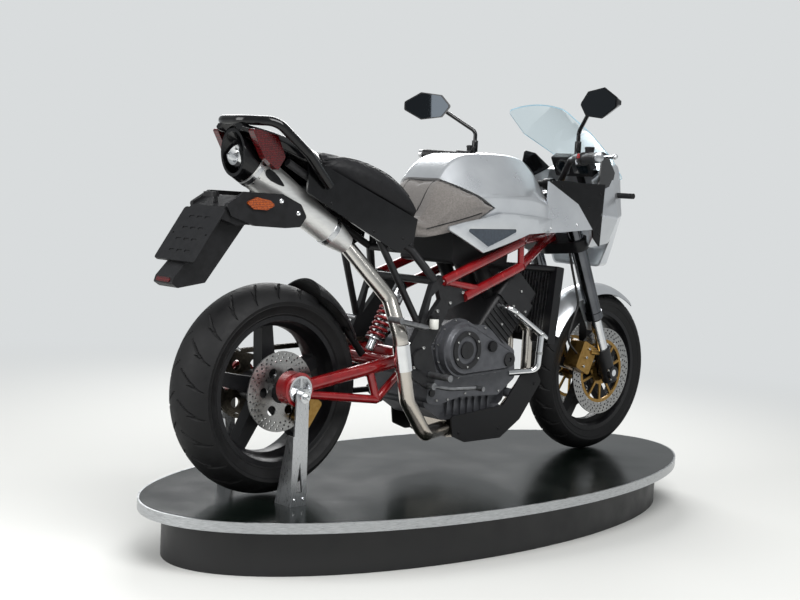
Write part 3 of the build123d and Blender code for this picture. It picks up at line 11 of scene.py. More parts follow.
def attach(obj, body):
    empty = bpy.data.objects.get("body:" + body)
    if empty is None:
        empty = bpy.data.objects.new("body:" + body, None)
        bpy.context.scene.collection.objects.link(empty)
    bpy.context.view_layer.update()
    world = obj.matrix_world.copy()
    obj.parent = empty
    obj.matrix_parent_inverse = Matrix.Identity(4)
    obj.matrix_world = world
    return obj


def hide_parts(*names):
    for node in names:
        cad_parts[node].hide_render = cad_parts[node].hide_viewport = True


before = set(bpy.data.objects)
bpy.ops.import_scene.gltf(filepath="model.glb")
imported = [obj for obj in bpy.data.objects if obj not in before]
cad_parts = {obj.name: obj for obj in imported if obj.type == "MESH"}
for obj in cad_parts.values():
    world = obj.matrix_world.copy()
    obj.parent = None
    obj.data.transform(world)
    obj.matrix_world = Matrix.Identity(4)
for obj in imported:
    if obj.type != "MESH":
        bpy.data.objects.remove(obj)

bl_info = {
    "name": "Display Motorcycle",
    "version": (1, 0, 0),
    "blender": (4, 5, 0),
    "location": "View3D > Sidebar > Motorcycle",
    "description": "Adds finishes and fine detail to a motorcycle on its plinth",
    "category": "Object",
}

# Places on the machine, in metres: x from the rear axle, z from the plinth's deck
REAR_X = -0.7525
DECK = 0.17
REAR_AXLE = Vector((REAR_X, 0, DECK + 0.321))
FRONT_AXLE = Vector((-REAR_X, 0, DECK + 0.3003))
RAKE = radians(25)
UP = Vector((0, 0, 1))
LEFT = Vector((0, 1, 0))


def at(x, y, z):
    """Point in the part's frame from millimetres off the rear axle, the centre plane and the deck."""
    return Vector((x / 1000 + REAR_X, y / 1000, z / 1000 + DECK))


def along_fork(run, y, ahead):
    """Point from millimetres up the fork from the front axle, to the left and ahead of the legs."""
    x = 1505 + ahead * cos(RAKE) - run * sin(RAKE)
    return at(x, y, 300.3 + run * cos(RAKE) + ahead * sin(RAKE))


# Finishes


def linear(hex_code):
    """Linear colour of an sRGB hex code."""
    parts = [int(hex_code[i:i + 2], 16) / 255 for i in (0, 2, 4)]
    return (*(c / 12.92 if c <= 0.04045 else ((c + 0.055) / 1.055) ** 2.4 for c in parts), 1.0)


def node(tree, kind, inputs=None, **settings):
    """Adds a node; inputs maps a socket's name or number to a value or to another node's output."""
    made = tree.nodes.new(kind)
    for key, value in settings.items():
        setattr(made, key, value)
    for key, value in (inputs or {}).items():
        if isinstance(value, bpy.types.NodeSocket):
            tree.links.new(value, made.inputs[key])
        else:
            made.inputs[key].default_value = value
    return made


def shaded(name, sockets):
    """New material with values set on its shader; returns material, tree and shader."""
    mat = bpy.data.materials.new(name)
    mat.use_nodes = True
    shader = mat.node_tree.nodes["Principled BSDF"]
    for key, value in sockets.items():
        shader.inputs[key].default_value = value
    return mat, mat.node_tree, shader


def mottled(
    name, dark, light, rough, patch_mm, metallic=0.0, grain_mm=0.0, grain=0.0, along=(1, 1, 1), sockets=None
):
    """Finish whose colour and roughness drift over patches of one size, with a fine grain in relief."""
    mat, tree, shader = shaded(name, {"Metallic": metallic, **(sockets or {})})
    lighter = linear(light) if isinstance(light, str) else light
    place = node(tree, "ShaderNodeTexCoord").outputs["Object"]
    laid = node(tree, "ShaderNodeMapping", {"Vector": place, "Scale": along}).outputs[0]
    patch = node(tree, "ShaderNodeTexNoise", {"Vector": laid, "Scale": 1000 / patch_mm, "Detail": 4.0})
    drift = node(tree, "ShaderNodeMapRange", {"Value": patch.outputs[0], "From Min": 0.3, "From Max": 0.7})
    level = drift.outputs[0]
    tint = node(tree, "ShaderNodeMix", {0: level, 6: linear(dark), 7: lighter}, data_type="RGBA")
    tree.links.new(tint.outputs[2], shader.inputs["Base Color"])
    matt = node(tree, "ShaderNodeMapRange", {"Value": level, "To Min": rough[0], "To Max": rough[1]})
    tree.links.new(matt.outputs[0], shader.inputs["Roughness"])
    if grain:
        fine = node(tree, "ShaderNodeTexNoise", {"Vector": laid, "Scale": 1000 / grain_mm, "Detail": 3.0})
        relief = node(
            tree, "ShaderNodeBump",
            {"Height": fine.outputs[0], "Strength": grain, "Distance": grain_mm / 2000},
        )
        tree.links.new(relief.outputs[0], shader.inputs["Normal"])
    return mat


def cells(name, dark, light, cell_mm, rough):
    """Lamp lens with the faceted cells of its reflector showing through, each cell painted lighter at its
    middle as a painted reflection.
    """
    mat, tree, shader = shaded(name, {"Roughness": rough, "Coat Weight": 0.5, "Coat Roughness": 0.03})
    place = node(tree, "ShaderNodeTexCoord").outputs["Object"]
    cell = node(tree, "ShaderNodeTexVoronoi", {"Vector": place, "Scale": 1000 / cell_mm, "Randomness": 0.25})
    level = node(
        tree, "ShaderNodeMapRange", {"Value": cell.outputs["Distance"], "From Min": 0.1, "From Max": 0.55}
    ).outputs[0]
    # painted reflection: the light colour at each cell's middle, darker towards its edges
    tint = node(tree, "ShaderNodeMix", {0: level, 6: linear(light), 7: linear(dark)}, data_type="RGBA")
    tree.links.new(tint.outputs[2], shader.inputs["Base Color"])
    relief = node(
        tree, "ShaderNodeBump",
        {"Height": cell.outputs["Distance"], "Strength": 0.5, "Distance": cell_mm / 4000},
    )
    tree.links.new(relief.outputs[0], shader.inputs["Normal"])
    return mat


def heat_tinted(name):
    """Stainless pipe: straw and brown where it runs hot and low, plain steel near the silencer."""
    mat = mottled(name, "C9C6C0", "CFCCC7", (0.18, 0.22), 140, 1.0)
    tree = mat.node_tree
    shader = tree.nodes["Principled BSDF"]
    plain = shader.inputs["Base Color"].links[0].from_socket
    place = node(tree, "ShaderNodeTexCoord").outputs["Object"]
    height = node(tree, "ShaderNodeSeparateXYZ", {0: place}).outputs[2]
    heat = node(
        tree, "ShaderNodeMapRange",
        {"Value": height, "From Min": 0.35, "From Max": 0.86, "To Min": 0.3, "To Max": 0.0},
    ).outputs[0]
    tint = node(tree, "ShaderNodeMix", {0: heat, 6: plain, 7: linear("9C7F5C")}, data_type="RGBA")
    tree.links.new(tint.outputs[2], shader.inputs["Base Color"])
    return mat


# Shader values that several finishes share
GLOSS_COAT = {"Coat Weight": 0.8, "Coat Roughness": 0.05}
THIN_COAT = {"Coat Weight": 0.2, "Coat Roughness": 0.05, "Specular IOR Level": 0.3}
LOW_SHEEN = {"Specular IOR Level": 0.25}


def make_finishes(looks):
    """Every finish on the machine: colours, roughness range, patch size, metallic, grain size and depth."""
    return {
        # metallic flake under clear lacquer: broad highlights with a sharp core
        "silver paint": mottled(
            "silver metallic lacquer", "BFC2C6", tuple(looks.paint), (0.27, 0.32), 90, 0.75,
            sockets=GLOSS_COAT,
        ),
        # flat-set lacquer with a little flake: a dull slate shine
        "wing inlay": mottled("grey satin lacquer", "3C424A", "474E57", (0.3, 0.4), 8, 0.4),
        # sprayed and polished black: nearly a mirror at a low angle, deep black face on
        "gloss black": mottled(
            "black gloss lacquer", "050506", "09090B", (0.12, 0.2), 40, sockets=THIN_COAT
        ),
        # stoved enamel on tube: deep colour under hard bright streaks
        "red enamel": mottled(
            "red frame enamel", "72070C", tuple(looks.frame_paint), (0.18, 0.28), 25, 0.2,
            sockets=GLOSS_COAT,
        ),
        # baked powder: soft shine over a faint orange peel
        "satin black": mottled(
            "black powder coat", "0D0D0F", "141416", (0.34, 0.46), 18, 0.0, 1.2, 0.15, sockets=LOW_SHEEN
        ),
        # spark-eroded mould face: even dull grain
        "black plastic": mottled(
            "moulded black polypropylene", "0F0F10", "171719", (0.42, 0.56), 20, 0.0, 0.9, 0.4,
            sockets=LOW_SHEEN,
        ),
        # cast acrylic sheet: clear dark reflections; the trace of green in its colours is a painted
        # reflection
        "deck": mottled(
            "black acrylic deck sheet", "070B09", "0B110E", (0.16, 0.24), 160,
            sockets={"Specular IOR Level": 0.3},
        ),
        # rolled-on paint: flat, with a roller's stipple drawn coarse enough to show
        "base": mottled("black painted drum", "0B0B0C", "121214", (0.42, 0.56), 80, 0.0, 2.0, 0.15),
        # fine brushing round the can: pale, with wide soft highlights
        "stainless": mottled(
            "brushed stainless steel", "D3D3D1", "DDDDDB", (0.34, 0.42), 40, 0.8, 1.0, 0.02, (1, 8, 8)
        ),
        "hot pipe": heat_tinted("heat tinted stainless pipe"),
        # belt-brushed plate: upright scratches, drawn coarse enough to show
        "stand alloy": mottled(
            "brushed stand aluminium", "B2B4B6", "CFD0D2", (0.24, 0.38), 18, 1.0, 0.8, 0.12, (9, 9, 1)
        ),
        # the same brushing, run along the band
        "rim band": mottled(
            "brushed edge band", "9C9EA0", "BFC1C3", (0.26, 0.4), 20, 1.0, 0.8, 0.12, (1, 1, 12)
        ),
        # cut and left bare: bright with slight clouding
        "machined": mottled("machined aluminium", "BFC1C3", "D4D5D7", (0.18, 0.3), 12, 1.0),
        # plated and buffed: a clean mirror
        "chrome": mottled("polished chrome", "D4D5D7", "E4E5E6", (0.05, 0.1), 50, 1.0),
        # smoked plating: a mirror in dark grey
        "dark chrome": mottled("dark chrome tube", "55575B", "686A6E", (0.08, 0.15), 50, 1.0),
        # blown bottle: milky and waxy
        "white bottle": mottled("white polyethylene bottle", "C9C9C2", "DADAD4", (0.4, 0.5), 12),
        # blasted, then anodised: bronze metal with a fine tooth
        "gold": mottled(
            "gold anodised aluminium", "8C6C38", tuple(looks.brakes), (0.28, 0.4), 14, 1.0, 0.8, 0.12
        ),
        # surface-ground: mid grey with a fine lay
        "disc steel": mottled("ground disc steel", "8C8C8C", "ABAAA8", (0.24, 0.38), 10, 1.0, 0.7, 0.1),
        # thin paint on a die casting: half metal, slightly pebbled
        "cast grey": mottled(
            "painted magnesium casting", "4B4C50", "595A5E", (0.36, 0.46), 24, 0.5, 1.4, 0.25
        ),
        # painted sand casting: darker and rougher
        "cast black": mottled("black alloy casting", "131315", "202022", (0.4, 0.54), 16, 0.25, 1.6, 0.45),
        # unpainted casting: dull grey metal with a pebbled skin
        "bare casting": mottled("bare alloy casting", "7C7D7F", "97989A", (0.36, 0.5), 14, 1.0, 1.4, 0.4),
        # oiled steel: dark brownish shine
        "chain": mottled("oiled chain steel", "4C4840", "6E685E", (0.28, 0.46), 8, 1.0),
        # bright zinc: cold grey glints
        "bolt steel": mottled("zinc plated steel", "A6A7A6", "C2C2C0", (0.2, 0.32), 6, 1.0),
        # moulded and scuffed rubber: black, hardly any shine
        "rubber": mottled(
            "tyre rubber", "0A0A0B", "131314", (0.55, 0.72), 22, 0.0, 1.0, 0.3, sockets=LOW_SHEEN
        ),
        # extruded rubber: a little smoother and shinier than a tyre
        "hose rubber": mottled("hose rubber", "0E0E0F", "171718", (0.42, 0.56), 14, 0.0, 0.8, 0.2),
        # brushed nap: no shine face on, pale at the edges; nap drawn coarse enough to show
        "suede": mottled(
            "grey suede", "57534F", tuple(looks.suede), (0.86, 0.97), 5, 0.0, 0.9, 0.7,
            sockets={"Sheen Weight": 0.5},
        ),
        # embossed sheet: small pebbles with a dull shine
        "seat vinyl": mottled(
            "black seat vinyl", "0E0E10", "171719", (0.48, 0.62), 12, 0.0, 1.5, 0.6, sockets=LOW_SHEEN
        ),
        # coloured lenses: dark body, each reflector cell painted lighter at its middle as a painted
        # reflection
        "red lens": cells("red lamp lens", "2E0103", "680509", 5, 0.08),
        "amber lens": cells("amber lamp lens", "5E2204", "B4540F", 5, 0.08),
        # smooth moulding: plain bright red
        "red switch": mottled("red switch plastic", "A80D10", "BC1418", (0.3, 0.4), 6),
        # thick clear moulding: bends what lies behind it
        "clear lens": shaded(
            "clear polycarbonate lens",
            {"Base Color": linear("E9F0F3"), "Roughness": 0.04, "Transmission Weight": 0.9, "IOR": 1.58},
        )[0],
        # thin sheet: a low index, so that what lies behind stays straight
        "screen": shaded(
            "clear acrylic screen",
            {"Base Color": linear("E6F1F5"), "Roughness": 0.03, "Transmission Weight": 1.0, "IOR": 1.2},
        )[0],
        # sawn edge: gathers light and shows pale blue
        "screen edge": shaded(
            "sawn acrylic edge",
            {"Base Color": linear("A9CFE0"), "Roughness": 0.35, "Transmission Weight": 0.4, "IOR": 1.49},
        )[0],
        # tinted mirror: a sharp dark picture
        "mirror": shaded(
            "silvered mirror glass", {"Base Color": linear("33373B"), "Roughness": 0.02, "Metallic": 1.0}
        )[0],
        # display that is off: black glass
        "dial": shaded(
            "dark display glass", {"Base Color": linear("0A1014"), "Roughness": 0.08, "Coat Weight": 1.0}
        )[0],
    }


# Finish of each CAD piece
CAD_FINISH = {
    "plinth_base": "base", "plinth_deck": "deck", "plinth_rim": "rim band", "stand_posts": "stand alloy",
    "rear_tyre": "rubber", "rear_rim": "satin black", "rear_disc": "disc steel", "rear_sprocket": "chain",
    "front_tyre": "rubber", "front_rim": "satin black", "front_discs": "disc steel", "disc_carriers": "gold",
    "rear_axle": "chrome", "front_axle": "chrome", "swingarm": "red enamel", "chain_adjusters": "machined",
    "drive_chain": "chain", "fork_sliders": "chrome", "fork_outers": "dark chrome", "yokes": "satin black",
    "handlebar": "satin black", "grips": "hose rubber", "bar_controls": "black plastic", "levers": "machined",
    "mirrors": "gloss black", "mirror_glass": "mirror", "front_mudguard": "silver paint",
    "front_calipers": "gold", "brake_hoses": "hose rubber", "rear_frame": "cast black",
    "frame_trellis": "red enamel", "crankcase": "cast grey", "cylinder_block": "cast black",
    "engine_covers": "cast grey", "exhaust_pipes": "hot pipe", "silencer": "stainless",
    "silencer_cap": "gloss black", "radiator": "satin black", "coolant_pipes": "chrome",
    "airbox": "black plastic", "fuel_tank": "silver paint", "rider_seat": "suede",
    "tank_wings": "silver paint", "pillion_seat": "seat vinyl", "tail_panels": "gloss black",
    "grab_rails": "gloss black", "tail_lamps": "red lens", "plate_holder": "black plastic",
    "number_plate": "satin black", "rear_indicators": "amber lens", "hugger": "black plastic",
    "rear_shock": "red enamel", "rear_caliper": "gold", "foot_rests": "bare casting",
    "side_stand": "satin black", "nose_fairing": "silver paint", "headlamp": "clear lens",
    "fairing_sides": "gloss black", "windscreen": "screen", "instruments": "black plastic",
}

FINISH = {}


def within(place, outline):
    """Whether a place lies inside an outline of (x, z) millimetres in side view."""
    x, z = (place.x - REAR_X) * 1000, (place.z - DECK) * 1000
    hit = False
    for (x0, z0), (x1, z1) in zip(outline, outline[1:] + outline[:1]):
        if (z0 > z) != (z1 > z) and x < x0 + (z - z0) * (x1 - x0) / (z1 - z0):
            hit = not hit
    return hit


def up_fork(place):
    """How far a place lies up the fork from the front axle."""
    return (place - FRONT_AXLE).dot(Vector((-sin(RAKE), 0, cos(RAKE))))


def off_silencer(place):
    """How far a place lies from the silencer's axis."""
    return (place - SILENCER_FRONT).cross(SILENCER_DIR).length


# Wing inlay in side view, and how far its rounded pocket reaches
INLAY = [(622, 818), (860, 822), (720, 762)]
INLAY_REAR, INLAY_FRONT = at(637, 0, 0).x, at(838, 0, 0).x

# Parts of CAD pieces that have a finish of their own: piece, finish, test of a face's centre and normal
PATCHES = (
    ("fork_sliders", "cast black", lambda c, n: up_fork(c) < 0.0982),
    ("silencer_cap", "chrome", lambda c, n: off_silencer(c) < 0.0345),
    ("tank_wings", "wing inlay", lambda c, n: within(c, INLAY) and INLAY_REAR < c.x < INLAY_FRONT),
    ("fairing_sides", "black plastic", lambda c, n: c.z < DECK + 0.4 or abs(c.y) < 0.11),
    ("engine_covers", "cast black", lambda c, n: c.y < -0.1861),
    ("windscreen", "screen edge", lambda c, n: abs(n.z) < 0.5),
    ("crankcase", "chain", lambda c, n: c.y > 0.086 and (c - at(585, 0, 400)).xz.length < 0.036),
)


# Making pieces


def keep(name, mesh, body, finish, stands_for=()):
    """Links a finished mesh as a piece that rides on a body."""
    piece = bpy.data.objects.new(name, mesh)
    bpy.context.collection.objects.link(piece)
    if finish:
        mesh.materials.clear()
        mesh.materials.append(FINISH[finish])
    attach(piece, body)
    if stands_for:
        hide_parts(*stands_for)
    return piece


def smooth(mesh, angle=radians(35)):
    """Smooth shading with sharp edges past an angle."""
    mesh.shade_smooth()
    mesh.set_sharp_from_angle(angle=angle)


def evaluated(obj):
    """Plain mesh of an object with its modifiers or bevel applied; the object goes."""
    bpy.context.view_layer.update()
    mesh = bpy.data.meshes.new_from_object(obj.evaluated_get(bpy.context.evaluated_depsgraph_get()))
    bpy.data.objects.remove(obj)
    return mesh


def cut_plate(name, loops, thickness, place):
    """Flat plate from closed loops in its own plane, the first the outline and the rest holes."""
    curve = bpy.data.curves.new(name, "CURVE")
    curve.dimensions = "2D"
    curve.fill_mode = "BOTH"
    curve.extrude = thickness / 2
    for loop in loops:
        spline = curve.splines.new("POLY")
        spline.points.add(len(loop) - 1)
        for point, (x, y) in zip(spline.points, loop):
            point.co = (x, y, 0, 1)
        spline.use_cyclic_u = True
    obj = bpy.data.objects.new(name, curve)
    bpy.context.collection.objects.link(obj)
    mesh = evaluated(obj)
    mesh.transform(place)
    smooth(mesh)
    return mesh


def circle(r, x=0.0, y=0.0, steps=24):
    """Outline of a round hole or boss."""
    return [(x + r * cos(2 * pi * k / steps), y + r * sin(2 * pi * k / steps)) for k in range(steps)]


def tube(name, points, r, cyclic=False, sides=4):
    """Round tube along a smooth line through control points."""
    curve = bpy.data.curves.new(name, "CURVE")
    curve.dimensions = "3D"
    curve.bevel_depth = r
    curve.bevel_resolution = sides
    curve.use_fill_caps = True
    spline = curve.splines.new("NURBS")
    spline.points.add(len(points) - 1)
    for point, co in zip(spline.points, points):
        point.co = (*co, 1)
    spline.order_u = 3
    spline.use_endpoint_u = not cyclic
    spline.use_cyclic_u = cyclic
    spline.resolution_u = 8
    obj = bpy.data.objects.new(name, curve)
    bpy.context.collection.objects.link(obj)
    mesh = evaluated(obj)
    mesh.shade_smooth()
    return mesh


def side_on(centre, y):
    """Placing of a plate that faces sideways: its x is the part's x and its y is height."""
    return Matrix.Translation((centre.x, y, centre.z)) @ Matrix.Rotation(radians(90), 4, "X")


def joined(name, meshes):
    """One mesh out of several."""
    made = bmesh.new()
    for mesh in meshes:
        made.from_mesh(mesh)
        bpy.data.meshes.remove(mesh)
    out = bpy.data.meshes.new(name)
    made.to_mesh(out)
    made.free()
    return out


def copies_tree():
    """Geometry Nodes tree that sets a shape on every point, turned and sized by the point's attributes."""
    tree = bpy.data.node_groups.new("set on points", "GeometryNodeTree")
    for name, kind in (("Points", "Geometry"), ("Shape", "Object"), ("Finish", "Material")):
        tree.interface.new_socket(name, in_out="INPUT", socket_type="NodeSocket" + kind)
    tree.interface.new_socket("Geometry", in_out="OUTPUT", socket_type="NodeSocketGeometry")
    given = node(tree, "NodeGroupInput").outputs
    facing, ahead = (
        node(tree, "GeometryNodeInputNamedAttribute", {"Name": name}, data_type="FLOAT_VECTOR").outputs[0]
        for name in ("facing", "ahead")
    )
    size = node(tree, "GeometryNodeInputNamedAttribute", {"Name": "size"}, data_type="FLOAT").outputs[0]
    turn = node(
        tree, "FunctionNodeAxesToRotation", {"Primary Axis": facing, "Secondary Axis": ahead},
        primary_axis="Z", secondary_axis="X",
    ).outputs[0]
    shape = node(tree, "GeometryNodeObjectInfo", {"Object": given["Shape"]}).outputs["Geometry"]
    placed = node(
        tree, "GeometryNodeInstanceOnPoints",
        {"Points": given["Points"], "Instance": shape, "Rotation": turn, "Scale": size},
    ).outputs[0]
    real = node(tree, "GeometryNodeRealizeInstances", {0: placed}).outputs[0]
    done = node(tree, "GeometryNodeSetMaterial", {"Geometry": real, "Material": given["Finish"]}).outputs[0]
    node(tree, "NodeGroupOutput", {"Geometry": done})
    return tree


def set_on_points(name, shape, points, body, finish, stands_for=()):
    """Copies of a shape mesh at (place, facing, ahead, size) points, as one piece."""
    mesh = bpy.data.meshes.new(name)
    mesh.from_pydata([p[0] for p in points], [], [])
    columns = (("facing", "FLOAT_VECTOR", 1), ("ahead", "FLOAT_VECTOR", 2), ("size", "FLOAT", 3))
    for key, kind, column in columns:
        layer = mesh.attributes.new(key, kind, "POINT")
        for item, point in zip(layer.data, points):
            if kind == "FLOAT":
                item.value = point[column]
            else:
                item.vector = point[column]
    cloud = bpy.data.objects.new(name + " points", mesh)
    pattern = bpy.data.objects.new(name + " shape", shape)
    bpy.context.collection.objects.link(cloud)
    bpy.context.collection.objects.link(pattern)
    tree = bpy.data.node_groups.get("set on points") or copies_tree()
    modifier = cloud.modifiers.new("copies", "NODES")
    modifier.node_group = tree
    sockets = {s.name: s.identifier for s in tree.interface.items_tree if s.in_out == "INPUT"}
    modifier[sockets["Shape"]] = pattern
    modifier[sockets["Finish"]] = FINISH[finish]
    made = evaluated(cloud)
    bpy.data.objects.remove(pattern)
    return keep(name, made, body, finish, stands_for)


def lathe(name, profile, steps=24):
    """Solid of revolution about z from (radius, height) points that start and end on the axis."""
    verts, faces = [], []
    for r, z in profile:
        for k in range(steps):
            verts.append((r * cos(2 * pi * k / steps), r * sin(2 * pi * k / steps), z))
    for j in range(len(profile) - 1):
        for k in range(steps):
            n = (k + 1) % steps
            faces.append((j * steps + k, j * steps + n, (j + 1) * steps + n, (j + 1) * steps + k))
    return tidy(name, verts, faces)


def prism(name, loop, low, high):
    """Straight solid over a closed loop of (x, y) points."""
    count = len(loop)
    verts = [(x, y, low) for x, y in loop] + [(x, y, high) for x, y in loop]
    faces = [tuple(reversed(range(count))), tuple(range(count, 2 * count))]
    faces += [(k, (k + 1) % count, count + (k + 1) % count, count + k) for k in range(count)]
    return tidy(name, verts, faces)


def tidy(name, verts, faces):
    """Mesh with doubled points merged and faces turned outward."""
    mesh = bpy.data.meshes.new(name)
    mesh.from_pydata(verts, [], faces)
    made = bmesh.new()
    made.from_mesh(mesh)
    bmesh.ops.remove_doubles(made, verts=made.verts, dist=1e-6)
    bmesh.ops.dissolve_degenerate(made, edges=made.edges, dist=1e-7)
    bmesh.ops.recalc_face_normals(made, faces=made.faces)
    made.to_mesh(mesh)
    made.free()
    smooth(mesh)
    return mesh


def facing(place, direction, ahead=LEFT):
    """Placing that points a shape's z along a direction and its x as near as may be to another."""
    z = Vector(direction).normalized()
    y = z.cross(Vector(ahead)).normalized()
    out = Matrix((y.cross(z), y, z)).transposed().to_4x4()
    out.translation = place
    return out


def put(mesh, place):
    """Moves a mesh to its place and hands it back."""
    mesh.transform(place)
    return mesh


def oblong(x0, y0, x1, y1):
    """Outline of a rectangle between two corners."""
    return [(x0, y0), (x1, y0), (x1, y1), (x0, y1)]


def obround(pitch, r, steps=8):
    """Outline of a link plate: two half rounds a pitch apart."""
    right = [(pitch / 2 + r * cos(a), r * sin(a)) for a in (pi * (k / steps - 0.5) for k in range(steps + 1))]
    return right + [(-x, -y) for x, y in right]


# Wheels

# Raised rings on a sidewall: share of the way from bead to shoulder, metres proud
SIDEWALL_RINGS = (
    (0.2, 0), (0.22, 0.0012), (0.27, 0.0012), (0.29, 0), (0.7, 0), (0.72, 0.001), (0.78, 0.001), (0.8, 0),
)
# Rings of disc holes: radius, count, hole radius, turn
REAR_HOLES = [(0.112, 30, 0.0034, 0), (0.102, 30, 0.0034, 0.33), (0.092, 30, 0.0034, 0.66)]
FRONT_HOLES = [
    (0.152, 40, 0.0036, 0), (0.142, 40, 0.0036, 0.33), (0.132, 40, 0.0036, 0.66), (0.123, 20, 0.0028, 0.2),
]
# Tyre valve, as (radius, height) millimetres, its angle round the wheel and its distance from the axle
VALVE = [(0, -4), (5, -4), (5, 2), (2.8, 3), (2.8, 24), (3.6, 25), (3.6, 34), (0, 34)]
VALVE_TURN = radians(131)
VALVE_REACH = 0.189


def tread_depth(turn, across, repeats):
    """Depth of the tread, 0 to 1, at a turn round the wheel and a place across it from -1 to 1."""
    side = 1 if across > 0 else -1
    reach = abs(across)
    step = (turn / (2 * pi) * repeats + (0.25 if side > 0 else 0.0)) % 1
    # two slanted cuts a repeat: a long one from near the middle to the shoulder, a short one between
    for start, end, lead, slant, width in ((0.1, 0.8, 0.15, 0.9, 0.07), (0.45, 0.92, 0.62, 0.45, 0.06)):
        if start < reach < end:
            line = (lead + slant * (reach - start)) % 1
            gap = abs((step - line + 0.5) % 1 - 0.5)
            taper = min(1, (reach - start) / 0.12, (end - reach) / 0.1)
            if gap < width * (0.4 + 0.6 * taper) / 2:
                return 1.0
    return 0.0


def tyre_mesh(name, axle, radius, half, bead, bead_half, repeats, depth):
    """Road tyre: round-shouldered section turned about the axle, with cut tread."""
    turns = 900
    shoulder = radius - 0.55 * (radius - 0.228)
    sagitta = radius - shoulder
    crown = (half ** 2 + sagitta ** 2) / (2 * sagitta)
    # sidewall from bead to shoulder
    wall = [(bead_half, bead)]
    for share, proud in SIDEWALL_RINGS:
        out = bead_half + (half - bead_half) * share ** 0.75
        wall.append((out + proud, bead + share * (shoulder - bead)))
    wall.append((half, shoulder))
    section = [(-y, r, 2) for y, r in wall]
    limit = asin(half / crown)
    cuts = 44
    for k in range(1, cuts):
        a = limit * (2 * k / cuts - 1)
        section.append((crown * sin(a), radius - crown * (1 - cos(a)), sin(a) / sin(limit)))
    section += [(y, r, 2) for y, r in reversed(wall)]
    verts, faces = [], []
    count = len(section)
    for j in range(turns):
        turn = 2 * pi * j / turns
        for y, r, across in section:
            cut = depth * tread_depth(turn, across, repeats) if across < 1.5 else 0.0
            verts.append((axle.x + (r - cut) * cos(turn), y, axle.z + (r - cut) * sin(turn)))
    for j in range(turns):
        n = (j + 1) % turns
        for k in range(count):
            m = (k + 1) % count
            faces.append((j * count + k, n * count + k, n * count + m, j * count + m))
    return tidy(name, verts, faces)


def drilled_disc(name, outer, inner, thickness, rings, axle, y, bays=0, bay_r=0.0, bay_at=0.0):
    """Brake disc with rings of (radius, count, hole radius, turn) holes, and round bays if any."""
    loops = [circle(outer, steps=120), circle(inner, steps=96)]
    for r, count, hole, turn in rings:
        for k in range(count):
            a = 2 * pi * (k + turn) / count
            loops.append(circle(hole, r * cos(a), r * sin(a), 10))
    for k in range(bays):
        a = 2 * pi * k / bays
        loops.append(circle(bay_r, bay_at * cos(a), bay_at * sin(a), 24))
    return cut_plate(name, loops, thickness, side_on(axle, y))


class MOTO_OT_wheels(bpy.types.Operator):
    """Adds treaded tyres, drilled discs and tyre valves"""

    bl_idname = "moto.wheels"
    bl_label = "Wheels"

    def execute(self, context):
        looks = context.scene.moto_looks
        tyre = tyre_mesh("rear_tyre_tread", REAR_AXLE, 0.315, 0.09, 0.216, 0.066, 22, looks.rear_tread)
        keep("rear_tyre_tread", tyre, "rear_wheel", "rubber", ("rear_tyre",))
        tyre = tyre_mesh("front_tyre_tread", FRONT_AXLE, 0.3, 0.06, 0.216, 0.043, 24, looks.front_tread)
        keep("front_tyre_tread", tyre, "front_wheel", "rubber", ("front_tyre",))
        disc = drilled_disc(
            "rear_disc_drilled", 0.12, 0.034, 0.005, REAR_HOLES, REAR_AXLE, -0.075, 6, 0.015, 0.063
        )
        keep("rear_disc_drilled", disc, "rear_wheel", "disc steel", ("rear_disc",))
        sides = [
            drilled_disc("disc side", 0.16, 0.118, 0.005, FRONT_HOLES, FRONT_AXLE, y) for y in (-0.072, 0.072)
        ]
        discs = joined("front_discs_drilled", sides)
        keep("front_discs_drilled", discs, "front_wheel", "disc steel", ("front_discs",))
        spoke = Vector((cos(VALVE_TURN), 0, sin(VALVE_TURN)))
        inward = Vector((-spoke.x, -0.25, -spoke.z)).normalized()
        for name, axle, body in (
            ("rear_valve", REAR_AXLE, "rear_wheel"), ("front_valve", FRONT_AXLE, "front_wheel"),
        ):
            stem = turned_part("stem", VALVE, 14)
            points = [(axle + spoke * VALVE_REACH, inward, LEFT, 1.0)]
            set_on_points(name, stem, points, body, "machined")
        return {"FINISHED"}


# Chain

CHAIN_Y = 0.104
LINKS = 104


def belt(rear, big, drive, small, count):
    """Evenly spaced places on a loop round two circles in side view, and the step between them."""
    span = drive - rear
    length = sqrt(span.x ** 2 + span.z ** 2)
    tilt = atan2(span.z, span.x)
    lean = asin((big - small) / length)
    straight = sqrt(length ** 2 - (big - small) ** 2)
    runs = [straight, small * (pi - 2 * lean), straight, big * (pi + 2 * lean)]
    step = sum(runs) / count
    places = []
    for k in range(count):
        s = k * step
        if s < runs[0]:
            a = tilt - lean
            x = rear.x + big * cos(a + pi / 2) + s * cos(a)
            z = rear.z + big * sin(a + pi / 2) + s * sin(a)
        elif s < runs[0] + runs[1]:
            a = tilt - lean - (s - runs[0]) / small
            x, z = drive.x + small * cos(a + pi / 2), drive.z + small * sin(a + pi / 2)
        elif s < sum(runs[:3]):
            a = tilt + lean + pi
            t = s - runs[0] - runs[1]
            x = drive.x + small * cos(a + pi / 2) + t * cos(a)
            z = drive.z + small * sin(a + pi / 2) + t * sin(a)
        else:
            a = tilt + lean + pi - (s - sum(runs[:3])) / big
            x, z = rear.x + big * cos(a + pi / 2), rear.z + big * sin(a + pi / 2)
        places.append(Vector((x, 0, z)))
    return places, step


def link_shape(name, pitch, inside):
    """One link: a pair of plates with its rollers or its pins."""
    low, high, r = (0.0042, 0.0056, 0.0075) if inside else (0.0058, 0.0072, 0.007)
    parts = [prism(name, obround(pitch, r), s * low, s * high) for s in (-1, 1)]
    for x in (-pitch / 2, pitch / 2):
        body = circle(0.005, x, 0, 12) if inside else circle(0.0026, x, 0, 10)
        reach = 0.0042 if inside else 0.0079
        parts.append(prism(name, body, -reach, reach))
    return joined(name, parts)


